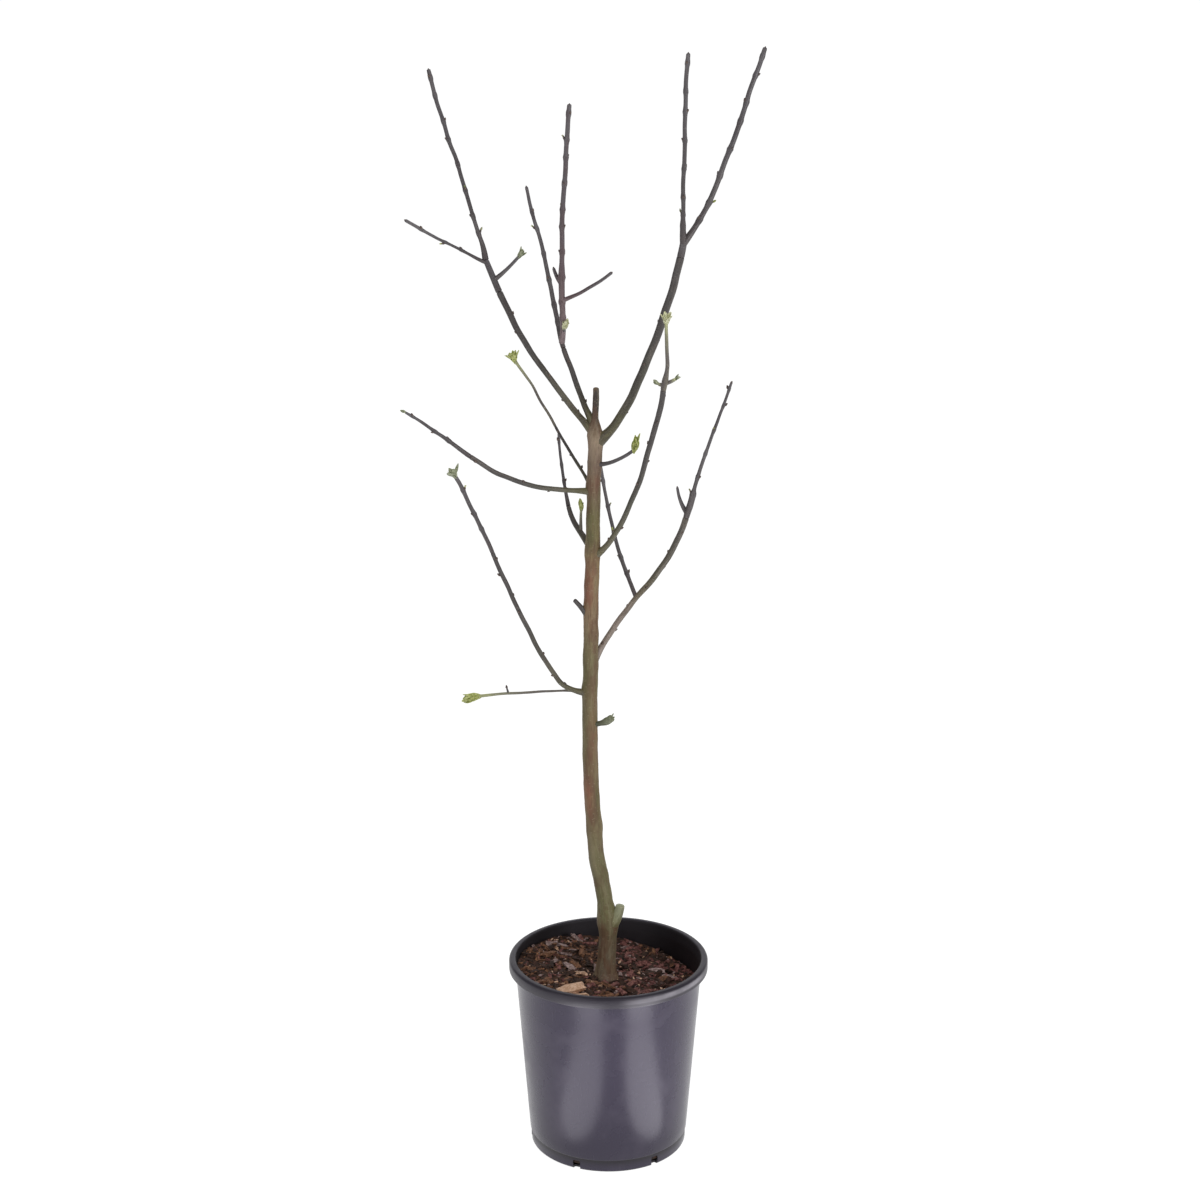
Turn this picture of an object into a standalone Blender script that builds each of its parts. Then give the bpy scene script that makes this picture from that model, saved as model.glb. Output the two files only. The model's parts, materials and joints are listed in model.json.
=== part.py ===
"""Potted almond tree: a young, nearly bare tree in a black nursery pot, breaking into leaf.

Metres, +Z up. The origin is the middle of the pot's flat underside. +X is to the right of the
front view and +Y points away from it. Every limb is grown from named sizes: where it leaves its
parent, how it heads (azimuth round the trunk, rise above the level) and how thick it is.
"""

import math
from dataclasses import dataclass
from random import Random

import bmesh
import bpy
from mathutils import Matrix, Vector

MM = 0.001
CLEARANCE = 0.3 * MM

# The pot, an injection-moulded nursery container
POT_HEIGHT = 230 * MM
RIM_RADIUS = 115.5 * MM
RIM_DROP = 13 * MM
RIM_ROUND = 3.5 * MM
RIM_LIP = 1.6 * MM
WALL_TOP_RADIUS = 109 * MM
WALL_FOOT_RADIUS = 91 * MM
WALL = 1.8 * MM
FLOOR = 2.4 * MM
FOOT_BAND = 16 * MM
FOOT_INSET = 1.3 * MM
FOOT_ROUND = 3 * MM
POT_STEPS = 48
CORNER_SLOTS = 6
CORNER_SLOT_TURN = 6
CORNER_SLOT_WIDTH = 9 * MM
CORNER_SLOT_HEIGHT = 12 * MM
CORNER_SLOT_REACH = 10 * MM
FLOOR_HOLES = 5
FLOOR_HOLE_RADIUS = 5.5 * MM
FLOOR_HOLE_CIRCLE = 48 * MM

# The compost that fills it
COMPOST_TOP = 203 * MM
COMPOST_CROWN = 26 * MM
COMPOST_LIFT = 3 * MM
COMPOST_EDGE_LIFT = 4 * MM
COMPOST_LEAN = 14 * MM
COMPOST_STEPS = 36

# How limbs and leaves are drawn
STEP = 10 * MM
TRUNK_SIDES = 12
BOUGH_SIDES = 8
TWIG_SIDES = 6
NEAR = 20 * MM
BUD_SPACING = 27 * MM
BUD_TURN = 137.5
BUD_LENGTH = 5.5 * MM
BUD_WIDTH = 3 * MM
BUD_LEAN = 38
LEAF_THICKNESS = 0.45 * MM
LEAF_FOLD = 0.55
LEAF_ROWS = 2
LEAF_STAGGER = 1.1 * MM
LEAF_SINK = 1.2 * MM
SEED = 11


@dataclass(frozen=True)
class Limb:
    """One limb, its place on its parent and the way it grows."""

    name: str
    parent: str
    leaves_at: float
    length: float
    thick: tuple
    heads: tuple
    buds: bool = False
    tuft: tuple = ()


# Trunk: distances run from its flat foot. It leans right up to the graft, bends left there
# and then climbs almost straight to the fork, where a pruned leader stands as a short stub.
TRUNK_FOOT = Vector((-3 * MM, 0, COMPOST_TOP + CLEARANCE))
TRUNK = Limb(
    "trunk",
    "",
    0,
    0.698,
    (
        (0, 0.030), (0.007, 0.0245), (0.022, 0.021), (0.052, 0.020), (0.066, 0.0235),
        (0.078, 0.0235), (0.095, 0.0185), (0.16, 0.0180), (0.35, 0.0172), (0.50, 0.0160),
        (0.60, 0.0150), (0.63, 0.0155), (0.644, 0.0170), (0.655, 0.0120), (0.664, 0.0072),
        (0.698, 0.0066),
    ),
    (
        (0, 0, 90), (0.012, 0, 87), (0.055, 10, 86), (0.078, 180, 79), (0.115, 176, 79),
        (0.15, 184, 84), (0.24, 182, 88.3), (0.36, 10, 89.2), (0.52, -10, 88.6),
        (0.698, 20, 88.8),
    ),
)

# Boughs: the limbs that show as lines of their own, up to where they enter their twigs.
BOUGHS = (
    Limb(
        "bough_left", "trunk", 0.646, 0.190,
        ((0, 0.0086), (0.02, 0.0070), (0.09, 0.0062), (0.15, 0.0068), (0.19, 0.0074)),
        ((0, 158, 44.5), (0.05, 158, 49), (0.10, 156, 51), (0.14, 150, 57.5), (0.19, 147, 61.5)),
    ),
    Limb(
        "bough_back", "trunk", 0.656, 0.095, ((0, 0.0076), (0.02, 0.0064), (0.095, 0.0056)),
        ((0, 136, 48), (0.03, 133, 57), (0.095, 125, 61)),
    ),
    Limb(
        "bough_right", "trunk", 0.636, 0.240,
        ((0, 0.0110), (0.025, 0.0096), (0.13, 0.0086), (0.24, 0.0082)),
        ((0, -16, 38), (0.03, -24, 55), (0.08, -33, 65), (0.14, -36, 66), (0.19, -46, 70),
         (0.24, -53, 72)),
    ),
    Limb(
        "bough_front", "trunk", 0.508, 0.235,
        ((0, 0.0078), (0.02, 0.0062), (0.10, 0.0058), (0.235, 0.0062)),
        ((0, -28, 36), (0.03, -36, 55), (0.08, -47, 62), (0.14, -56, 65), (0.19, -62, 66),
         (0.235, -72, 67)),
    ),
    Limb(
        "bough_low_right", "trunk", 0.378, 0.212,
        ((0, 0.0084), (0.03, 0.0070), (0.09, 0.0062), (0.12, 0.0068), (0.212, 0.0068)),
        ((0, 20, 60.5), (0.05, 19, 55.5), (0.09, 5, 48.5), (0.13, -25, 53), (0.17, -34, 63),
         (0.212, -44, 70.5)),
    ),
    Limb(
        "bough_mid_left", "trunk", 0.583, 0.150, ((0, 0.0066), (0.02, 0.0056), (0.15, 0.0052)),
        ((0, -165, 3), (0.04, -165, 9), (0.08, -164, 21), (0.12, -162, 33), (0.15, -161, 38)),
    ),
    Limb(
        "bough_left_back", "trunk", 0.584, 0.090, ((0, 0.0048), (0.02, 0.0036), (0.09, 0.0032)),
        ((0, 132, 41), (0.05, 131, 43), (0.09, 130, 45)),
    ),
    Limb(
        "bough_rear", "trunk", 0.517, 0.062, ((0, 0.0072), (0.02, 0.0066), (0.062, 0.0052)),
        ((0, 130, 32), (0.03, 127, 38), (0.062, 106, 54)),
    ),
    Limb(
        "bough_low_left", "trunk", 0.350, 0.220, ((0, 0.0072), (0.02, 0.0058), (0.22, 0.0047)),
        ((0, -163, 8), (0.018, -163, 26), (0.04, -158, 55), (0.09, -153, 63), (0.14, -150, 65),
         (0.22, -147, 66)),
    ),
)

# Twigs: each list is one mass, its first limb the stem that the others leave. The tuft of a
# limb is (leaves, length of the longest leaf in mm, spread in degrees).
MASSES = {
    "twigs_left": (
        Limb("stem", "bough_left", 0.190, 0.038, ((0, 0.0074), (0.038, 0.0064)),
             ((0, 147, 61.5), (0.038, 146, 62))),
        Limb("high", "stem", 0.038, 0.216, ((0, 0.0056), (0.03, 0.0045), (0.216, 0.0046)),
             ((0, 130, 72), (0.02, 142, 66), (0.11, 144, 67), (0.216, 137, 70)), True),
        Limb("low", "stem", 0.034, 0.101, ((0, 0.0034), (0.04, 0.0030), (0.101, 0.0038)),
             ((0, -170, 26), (0.101, -167, 32)), True),
        Limb("spur", "stem", 0.014, 0.043, ((0, 0.0042), (0.043, 0.0036)),
             ((0, -25, 37), (0.043, -25, 48)), tuft=(5, 13, 44)),
    ),
    "twigs_back": (
        Limb("stem", "bough_back", 0.095, 0.188,
             ((0, 0.0056), (0.05, 0.0052), (0.12, 0.0044), (0.188, 0.0037)),
             ((0, 125, 61), (0.02, 108, 65), (0.06, 120, 63), (0.188, 123, 64)), True),
        Limb("high", "stem", 0.006, 0.275,
             ((0, 0.0054), (0.03, 0.0064), (0.085, 0.0072), (0.095, 0.0056), (0.275, 0.0050)),
             ((0, -76, 74), (0.04, -100, 72), (0.12, -82, 72), (0.275, -74, 71)), True),
        Limb("side", "high", 0.050, 0.077, ((0, 0.0040), (0.077, 0.0035)),
             ((0, -36, 24), (0.077, -39, 34))),
        Limb("snag", "high", 0.070, 0.020, ((0, 0.0040), (0.02, 0.0032)),
             ((0, 160, 55), (0.02, 150, 78))),
        Limb("spur", "high", 0.011, 0.010, ((0, 0.0030), (0.01, 0.0026)),
             ((0, -70, 50), (0.01, -70, 60)), tuft=(4, 14, 40)),
    ),
    "twigs_right": (
        Limb("stem", "bough_right", 0.240, 0.017, ((0, 0.0082), (0.017, 0.0076)),
             ((0, -53, 72), (0.017, -53, 72))),
        Limb("high", "stem", 0.015, 0.205,
             ((0, 0.0060), (0.014, 0.0056), (0.02, 0.0062), (0.028, 0.0045), (0.205, 0.0045)),
             ((0, -97, 73), (0.205, -82, 72)), True),
        Limb("outer", "stem", 0.014, 0.217, ((0, 0.0062), (0.03, 0.0058), (0.12, 0.0056), (0.217, 0.0048)),
             ((0, 5, 52), (0.03, 11, 63), (0.08, 13, 69), (0.217, 17, 72)), True),
    ),
    "twigs_front": (
        Limb("stem", "bough_front", 0.235, 0.084,
             ((0, 0.0062), (0.012, 0.0070), (0.024, 0.0044), (0.084, 0.0034)),
             ((0, -66, 67), (0.022, -80, 69), (0.036, -98, 68), (0.084, -92, 67)), tuft=(5, 14, 56)),
        Limb("spur_left", "stem", 0.006, 0.007, ((0, 0.0036), (0.007, 0.0030)),
             ((0, 170, 4), (0.007, 165, 26)), tuft=(3, 9, 40)),
        Limb("spur_right", "stem", 0.008, 0.013, ((0, 0.0036), (0.013, 0.0030)),
             ((0, 0, 16), (0.013, -8, 40)), tuft=(3, 9, 40)),
    ),
    "twigs_low_right": (
        Limb("stem", "bough_low_right", 0.212, 0.169,
             ((0, 0.0068), (0.012, 0.0076), (0.026, 0.0072), (0.036, 0.0044), (0.169, 0.0029)),
             ((0, -44, 70.5), (0.02, -46, 71.5), (0.073, -41.5, 67.5), (0.169, -42, 66)), True),
        Limb("snag", "stem", 0.004, 0.032, ((0, 0.0044), (0.032, 0.0030)),
             ((0, 160, 58), (0.032, 120, 84))),
    ),
    "twigs_behind": (
        Limb("stem", "bough_low_right", 0.095, 0.161,
             ((0, 0.0050), (0.03, 0.0047), (0.161, 0.0036)),
             ((0, 128, 53), (0.08, 117, 59), (0.161, 108, 62)), True),
    ),
    "twigs_mid_left": (
        Limb("stem", "bough_mid_left", 0.150, 0.088, ((0, 0.0052), (0.04, 0.0040), (0.088, 0.0028)),
             ((0, -161, 39), (0.05, -162, 36), (0.088, -162, 30)), True, tuft=(3, 8, 32)),
    ),
    "twigs_left_back": (
        Limb("stem", "bough_left_back", 0.090, 0.096, ((0, 0.0032), (0.06, 0.0030), (0.096, 0.0036)),
             ((0, 130, 45), (0.05, 132, 45), (0.078, 142, 44), (0.096, 142, 62)), tuft=(7, 15, 74)),
    ),
    "twigs_rear": (
        Limb("stem", "bough_rear", 0.062, 0.089, ((0, 0.0052), (0.02, 0.0038), (0.089, 0.0028)),
             ((0, 106, 55), (0.089, 100, 56)), True),
    ),
    "spur_rear": (
        Limb("stem", "bough_rear", 0.026, 0.027, ((0, 0.0032), (0.027, 0.0028)),
             ((0, 80, 72), (0.027, 70, 80)), tuft=(4, 13, 30)),
    ),
    "twigs_low_left": (
        Limb("stem", "bough_low_left", 0.220, 0.100, ((0, 0.0047), (0.1, 0.0045)),
             ((0, -147, 66), (0.05, -149, 64), (0.1, -151, 60)), True, tuft=(5, 16, 62)),
    ),
    "twigs_lowest_left": (
        Limb("stem", "bough_low_left", 0.016, 0.128,
             ((0, 0.0030), (0.02, 0.0024), (0.045, 0.0030), (0.1, 0.0032), (0.128, 0.0040)),
             ((0, 157, -7), (0.06, 156, -11), (0.128, 156, -14)), tuft=(6, 24, 26)),
        Limb("snag", "stem", 0.086, 0.009, ((0, 0.0020), (0.009, 0.0016)),
             ((0, 156, 70), (0.009, 156, 80))),
    ),
    "spur_high_right": (
        Limb("stem", "trunk", 0.613, 0.058, ((0, 0.0046), (0.015, 0.0042), (0.058, 0.0038)),
             ((0, -33, 4), (0.018, -33, 22), (0.046, -35, 36), (0.058, -36, 76)), tuft=(5, 21, 20)),
    ),
}

# Short spurs and the snag at the graft are grown on the trunk, as one solid with it.
TRUNK_SPURS = (
    Limb("graft_snag", "trunk", 0.066, 0.031, ((0, 0.018), (0.014, 0.0130), (0.031, 0.0100)),
         ((0, -18, 42), (0.012, -12, 70), (0.031, -8, 86))),
    Limb("left_spur", "trunk", 0.432, 0.034, ((0, 0.0074), (0.012, 0.0062), (0.034, 0.0048)),
         ((0, -163, 60), (0.018, -166, 52), (0.034, -166, 38))),
    Limb("right_spur", "trunk", 0.312, 0.030,
         ((0, 0.0070), (0.013, 0.0056), (0.021, 0.0092), (0.030, 0.0084)),
         ((0, -20, 10), (0.014, -20, 30), (0.030, -22, 52)), tuft=(2, 6, 24)),
)

BARK_BROWN = (0.17, 0.12, 0.06)
BOUGH_BROWN = (0.10, 0.075, 0.055)
TWIG_GREY = (0.16, 0.13, 0.12)
POT_BLACK = (0.045, 0.043, 0.05)
COMPOST_BROWN = (0.09, 0.045, 0.025)


def clear_scene():
    """Empties the startup scene."""
    for thing in list(bpy.data.objects):
        bpy.data.objects.remove(thing)


def plain_material(name, colour, roughness):
    """One Principled material of the given colour and roughness."""
    made = bpy.data.materials.new(name)
    made.use_nodes = True
    shader = made.node_tree.nodes["Principled BSDF"]
    shader.inputs["Base Color"].default_value = (*colour, 1)
    shader.inputs["Roughness"].default_value = roughness
    shader.inputs["Metallic"].default_value = 0
    return made


def link(thing, collection, material=None):
    """Puts an object in a collection and gives it its material."""
    collection.objects.link(thing)
    if material:
        thing.data.materials.clear()
        thing.data.materials.append(material)
    return thing


def baked(thing, collection, material):
    """The object with its modifiers applied, as a mesh object that takes its name and place."""
    graph = bpy.context.evaluated_depsgraph_get()
    mesh = bpy.data.meshes.new_from_object(thing.evaluated_get(graph))
    if thing.type == "CURVE":
        shape = bmesh.new()
        shape.from_mesh(mesh)
        bmesh.ops.remove_doubles(shape, verts=shape.verts, dist=0.002 * MM)
        shape.to_mesh(mesh)
        shape.free()
    name, place = thing.name, thing.matrix_world.copy()
    bpy.data.objects.remove(thing)
    made = bpy.data.objects.new(name, mesh)
    made.matrix_world = place
    link(made, collection, material)
    bpy.context.view_layer.update()
    return made


def outer_shell(thing):
    """Drops the sealed hollows and scraps that a union leaves, all but the largest piece."""
    shape = bmesh.new()
    shape.from_mesh(thing.data)
    left, pieces = set(shape.faces), []
    while left:
        edge_of, piece = [left.pop()], []
        while edge_of:
            face = edge_of.pop()
            piece.append(face)
            for edge in face.edges:
                beside = [other for other in edge.link_faces if other in left]
                left.difference_update(beside)
                edge_of.extend(beside)
        pieces.append(piece)
    pieces.sort(key=lambda piece: sum(face.calc_area() for face in piece))
    scraps = [face for piece in pieces[:-1] for face in piece]
    bmesh.ops.delete(shape, geom=scraps, context="FACES")
    shape.to_mesh(thing.data)
    shape.free()


def heading(azimuth, rise):
    """The unit vector of a compass angle round Z and an angle above the level."""
    turn, climb = math.radians(azimuth), math.radians(rise)
    return Vector((math.cos(turn) * math.cos(climb), math.sin(turn) * math.cos(climb), math.sin(climb)))


def between(stations, distance):
    """The value at a distance along (distance, value) stations, eased straight between them."""
    for (near, low), (far, high) in zip(stations, stations[1:]):
        if distance <= far:
            return low + (high - low) * max(0, (distance - near) / (far - near))
    return stations[-1][1]


def grow(limb, start, skip=0.0):
    """The limb's stations from its start: (point, heading, radius) every STEP, wandering a little
    at each bud. The first `skip` metres are walked but not listed."""
    heads = [(along, heading(azimuth, rise)) for along, azimuth, rise in limb.heads]
    wander = Random(f"{SEED} {limb.parent} {limb.name}")
    steps = max(2, round(limb.length / STEP))
    pace = limb.length / steps
    point, sway, next_bud = start.copy(), Vector(), BUD_SPACING
    stations = []
    for count in range(steps + 1):
        along = count * pace
        if limb.buds and along > next_bud:
            sway = Vector([wander.uniform(-1, 1) for _ in range(3)]) * 0.035
            next_bud += BUD_SPACING
        way = (between(heads, along).normalized() + sway).normalized()
        if along >= skip:
            stations.append((point.copy(), way, between(limb.thick, along) / 2))
        point = point + way * pace
    return stations


def at(stations, pace, distance):
    """The point on a grown limb at a distance from its foot."""
    place = distance / pace
    low = min(int(place), len(stations) - 2)
    return stations[low][0].lerp(stations[low + 1][0], place - low)


def tube(name, stations, sides, extra=0.0):
    """A curve object with round cross-sections through the stations, closed by flat caps.
    `extra` thickens it all over."""
    curve = bpy.data.curves.new(name, "CURVE")
    curve.dimensions = "3D"
    curve.bevel_depth = 1
    curve.bevel_resolution = sides // 2 - 2
    curve.use_fill_caps = True
    spline = curve.splines.new("POLY")
    spline.points.add(len(stations) - 1)
    for knot, (point, way, radius) in zip(spline.points, stations):
        knot.co = (*point, 1)
        knot.radius = radius + extra
    return bpy.data.objects.new(name, curve)


def across(way):
    """A turn that takes +Z to the given way."""
    return way.to_track_quat("Z", "Y").to_matrix().to_4x4()


def bud_place(stations, count, spacing):
    """Where bud number `count` of a limb sits: its place, and the way that it points."""
    index = min(len(stations) - 2, round(count * spacing / STEP))
    point, way, radius = stations[index]
    side = across(way) @ Matrix.Rotation(math.radians(BUD_TURN * count), 4, "Z")
    out = (side @ Vector((1, 0, 0))).normalized()
    lean = (way * math.cos(math.radians(BUD_LEAN)) + out * math.sin(math.radians(BUD_LEAN))).normalized()
    return point + out * radius * 0.45, lean


def bud_shape(name, point, way, length, width):
    """A pointed bud, its foot at the point."""
    shape = bmesh.new()
    bmesh.ops.create_cone(
        shape, cap_ends=True, segments=5, radius1=width / 2, radius2=width * 0.09, depth=length
    )
    bmesh.ops.translate(shape, verts=shape.verts, vec=(0, 0, length * 0.35))
    shape.transform(Matrix.Translation(point) @ across(way))
    mesh = bpy.data.meshes.new(name)
    shape.to_mesh(mesh)
    shape.free()
    return bpy.data.objects.new(name, mesh)


def leaf_shape(name, point, way, turn, length, width):
    """A lance-shaped young leaf folded up along its midrib, its foot sunk behind the point."""
    shape = bmesh.new()
    bmesh.ops.create_grid(shape, x_segments=2, y_segments=LEAF_ROWS, size=0.5)
    for corner in shape.verts:
        share = corner.co.y + 0.5
        half = width * (0.16 + 0.84 * math.sin(math.pi * min(1, 0.06 + share * 0.94)) ** 0.8)
        aside = corner.co.x * half
        corner.co = Vector((aside, abs(aside) * LEAF_FOLD + length * 0.22 * share**2, length * share))
    shape.transform(
        Matrix.Translation(point - way * LEAF_SINK) @ across(way) @ Matrix.Rotation(turn, 4, "Z")
    )
    mesh = bpy.data.meshes.new(name)
    shape.to_mesh(mesh)
    shape.free()
    made = bpy.data.objects.new(name, mesh)
    skin = made.modifiers.new("thickness", "SOLIDIFY")
    skin.thickness = LEAF_THICKNESS
    skin.offset = 0
    return made


def tuft_shapes(limb, stations):
    """The young leaves at a limb's tip, in a ring that opens to the tuft's spread."""
    if not limb.tuft:
        return []
    leaves, longest, spread = limb.tuft
    chance = Random(f"{SEED} tuft {limb.parent} {limb.name}")
    tip, way, radius = stations[-1]
    made = []
    for count in range(leaves):
        turn = math.radians(BUD_TURN * count + chance.uniform(-12, 12))
        lean = math.radians(spread * (0.35 + 0.65 * (count + 1) / leaves))
        out = (across(way) @ Matrix.Rotation(turn, 4, "Z") @ Vector((0, -1, 0))).normalized()
        leaf_way = (way * math.cos(lean) + out * math.sin(lean)).normalized()
        length = longest * MM * chance.uniform(0.7, 1)
        side = (across(leaf_way).inverted() @ -out).xy.normalized()
        foot = tip + out * radius * 0.5 - way * LEAF_STAGGER * (leaves - 1 - count)
        made.append(
            leaf_shape(
                f"leaf_{count}", foot, leaf_way, math.atan2(-side.x, side.y), length, length * 0.4
            )
        )
    return made


def fused(name, pieces, collection, material):
    """One solid from overlapping pieces, by a Boolean union on their collection."""
    first, *others = pieces
    bench = bpy.data.collections.new(f"{name} pieces")
    bpy.context.scene.collection.children.link(bench)
    for piece in pieces:
        bench.objects.link(piece)
    bpy.context.view_layer.update()
    first = baked(first, collection, material)
    for piece in others:
        baked(piece, bench, material)
    first.name = name
    if others:
        join = first.modifiers.new("join", "BOOLEAN")
        join.operation = "UNION"
        join.operand_type = "COLLECTION"
        join.collection = bench
        join.solver = "MANIFOLD"
        bpy.context.view_layer.update()
        first = baked(first, collection, material)
        outer_shell(first)
    for piece in list(bench.objects):
        bpy.data.objects.remove(piece)
    bpy.data.collections.remove(bench)
    return first


def trimmed(thing, cutters, collection, material):
    """The solid cut clear of its neighbours by thickened copies of them."""
    for cutter in cutters:
        link(cutter, bpy.context.scene.collection)
        bpy.context.view_layer.update()
        cutter = baked(cutter, bpy.context.scene.collection, None)
        cut = thing.modifiers.new("clear", "BOOLEAN")
        cut.operation = "DIFFERENCE"
        cut.object = cutter
        cut.solver = "MANIFOLD"
        bpy.context.view_layer.update()
        thing = baked(thing, collection, material)
        outer_shell(thing)
        bpy.data.objects.remove(cutter)
    return thing


def turned(name, profile, steps):
    """A solid of revolution about Z from a closed loop of (radius, height) that runs down its
    outer side. No edge of the loop is drawn along the axis itself."""
    mesh = bpy.data.meshes.new(name)
    corners = [(radius, 0, height) for radius, height in profile]
    loop = [(count, (count + 1) % len(profile)) for count in range(len(profile))]
    edges = [edge for edge in loop if profile[edge[0]][0] or profile[edge[1]][0]]
    mesh.from_pydata(corners, edges, [])
    made = bpy.data.objects.new(name, mesh)
    spin = made.modifiers.new("turn", "SCREW")
    spin.steps = spin.render_steps = steps
    spin.use_merge_vertices = True
    spin.merge_threshold = 0.00005
    return made


def arc(centre, radius, start, end, count):
    """Points on a quarter or half round of a profile, from one angle to another in degrees."""
    angles = [math.radians(start + (end - start) * i / count) for i in range(count + 1)]
    return [(centre[0] + radius * math.cos(a), centre[1] + radius * math.sin(a)) for a in angles]


def wall_radius(height):
    """The pot's outer radius at a height above the foot band."""
    return WALL_FOOT_RADIUS + (WALL_TOP_RADIUS - WALL_FOOT_RADIUS) * height / POT_HEIGHT


def pot_profile():
    """The pot's wall, rolled rim, foot band and floor, from the rim down the outside."""
    rim_middle = (RIM_RADIUS - RIM_ROUND, POT_HEIGHT - RIM_ROUND)
    rim_foot = POT_HEIGHT - RIM_DROP
    foot_radius = wall_radius(FOOT_BAND) - FOOT_INSET
    inner_top = wall_radius(POT_HEIGHT) - WALL
    return [
        *arc(rim_middle, RIM_ROUND, 90, 0, 3),
        (RIM_RADIUS, rim_foot),
        (RIM_RADIUS - RIM_LIP, rim_foot),
        (RIM_RADIUS - RIM_LIP, POT_HEIGHT - RIM_ROUND),
        (wall_radius(POT_HEIGHT) + 0.4 * MM, POT_HEIGHT - RIM_ROUND),
        (wall_radius(rim_foot), rim_foot),
        (wall_radius(FOOT_BAND), FOOT_BAND),
        (foot_radius, FOOT_BAND - FOOT_INSET),
        *arc((foot_radius - FOOT_ROUND, FOOT_ROUND), FOOT_ROUND, 0, -90, 2),
        (0, 0),
        (0, FLOOR),
        (foot_radius - FOOT_ROUND - WALL, FLOOR),
        (foot_radius - WALL, FLOOR + FOOT_ROUND),
        (wall_radius(FOOT_BAND) - WALL, FOOT_BAND + FOOT_INSET),
        (inner_top, POT_HEIGHT - RIM_ROUND),
        (inner_top + 1.5 * MM, POT_HEIGHT),
    ]


def drain_cutter(name, turn):
    """A slot through the corner of the foot, wider than the wall."""
    bpy.ops.mesh.primitive_cube_add(size=1)
    slot = bpy.context.object
    slot.name = name
    outer = WALL_FOOT_RADIUS + 4 * MM
    middle = outer - CORNER_SLOT_REACH / 2
    shape = Matrix.Diagonal((CORNER_SLOT_REACH, CORNER_SLOT_WIDTH, CORNER_SLOT_HEIGHT, 1))
    slot.data.transform(
        Matrix.Rotation(turn, 4, "Z")
        @ Matrix.Translation((middle, 0, CORNER_SLOT_HEIGHT / 2 - 1 * MM))
        @ shape
    )
    return slot


def floor_cutter(name, turn):
    """A round hole through the floor."""
    bpy.ops.mesh.primitive_cylinder_add(vertices=16, radius=FLOOR_HOLE_RADIUS, depth=4 * FLOOR)
    hole = bpy.context.object
    hole.name = name
    place = Matrix.Rotation(turn, 4, "Z") @ Matrix.Translation((FLOOR_HOLE_CIRCLE, 0, 0))
    hole.data.transform(place)
    return hole


def make_pot(collection, material):
    """The nursery pot with its drain slots and floor holes."""
    blank = link(turned("pot", pot_profile(), POT_STEPS), collection, material)
    bpy.context.view_layer.update()
    pot = baked(blank, collection, material)
    cutters = bpy.data.collections.new("pot cutters")
    bpy.context.scene.collection.children.link(cutters)
    for count in range(CORNER_SLOTS):
        turn = math.radians(CORNER_SLOT_TURN + 360 * count / CORNER_SLOTS)
        cutters.objects.link(drain_cutter(f"slot_{count}", turn))
    for count in range(FLOOR_HOLES):
        cutters.objects.link(floor_cutter(f"hole_{count}", math.radians(90 + 360 * count / FLOOR_HOLES)))
    drill = pot.modifiers.new("drain", "BOOLEAN")
    drill.operation = "DIFFERENCE"
    drill.operand_type = "COLLECTION"
    drill.collection = cutters
    bpy.context.view_layer.update()
    pot = baked(pot, collection, material)
    for cutter in list(cutters.objects):
        bpy.data.objects.remove(cutter)
    bpy.data.collections.remove(cutters)
    return pot


def make_compost(collection, material):
    """The filling: level round the trunk, heaped towards the wall and highest at the left."""
    foot_radius = wall_radius(FOOT_BAND) - FOOT_INSET - WALL - CLEARANCE
    gap = WALL + 2 * CLEARANCE
    edge = wall_radius(COMPOST_TOP) - gap
    profile = [
        (0, COMPOST_TOP),
        (COMPOST_CROWN, COMPOST_TOP),
        (edge * 0.5, COMPOST_TOP + COMPOST_LIFT),
        (edge * 0.75, COMPOST_TOP + COMPOST_LIFT),
        (edge, COMPOST_TOP + COMPOST_EDGE_LIFT),
        (wall_radius(FOOT_BAND) - gap, FOOT_BAND + 2 * FOOT_INSET),
        (foot_radius - CLEARANCE, FLOOR + FOOT_ROUND + CLEARANCE),
        (foot_radius - FOOT_ROUND - CLEARANCE, FLOOR + CLEARANCE),
        (0, FLOOR + CLEARANCE),
    ]
    blank = link(turned("compost", profile, COMPOST_STEPS), collection, material)
    bpy.context.view_layer.update()
    filling = baked(blank, collection, material)
    for point in filling.data.vertices:
        if point.co.z > COMPOST_TOP and point.co.xy.length > COMPOST_CROWN:
            point.co.z -= COMPOST_LEAN * point.co.x / edge
            reach = (wall_radius(point.co.z) - gap) / edge
            point.co.x *= reach
            point.co.y *= reach
    return filling


def make_trunk(collection, material):
    """The trunk with its graft snag and spurs, and its grown stations."""
    stations = grow(TRUNK, TRUNK_FOOT)
    pieces = [tube("trunk", stations, TRUNK_SIDES)]
    pace = TRUNK.length / (len(stations) - 1)
    for spur in TRUNK_SPURS:
        grown = grow(spur, at(stations, pace, spur.leaves_at))
        pieces.append(tube(spur.name, grown, TWIG_SIDES))
        pieces.extend(tuft_shapes(spur, grown))
    return fused("trunk", pieces, collection, material), stations


def start_of(limb, grown):
    """Where a limb leaves its parent, from the limbs grown so far."""
    parent, stations = grown[limb.parent]
    return at(stations, parent.length / (len(stations) - 1), limb.leaves_at)


def make_bough(bough, grown, collection, material):
    """One bough, its foot cut to hug the limbs it springs from."""
    stations = grow(bough, start_of(bough, grown))
    cutters = [tube("keep_clear", grown[bough.parent][1], TRUNK_SIDES, CLEARANCE)]
    for name, (other, other_stations) in grown.items():
        near = (other_stations[0][0] - stations[0][0]).length < NEAR
        if other.parent == bough.parent and near:
            cutters.append(tube("keep_clear", other_stations, BOUGH_SIDES, CLEARANCE))
    body = link(tube(bough.name, stations, BOUGH_SIDES), collection, material)
    bpy.context.view_layer.update()
    body = trimmed(baked(body, collection, material), cutters, collection, material)
    grown[bough.name] = (bough, stations)
    return body


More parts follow.
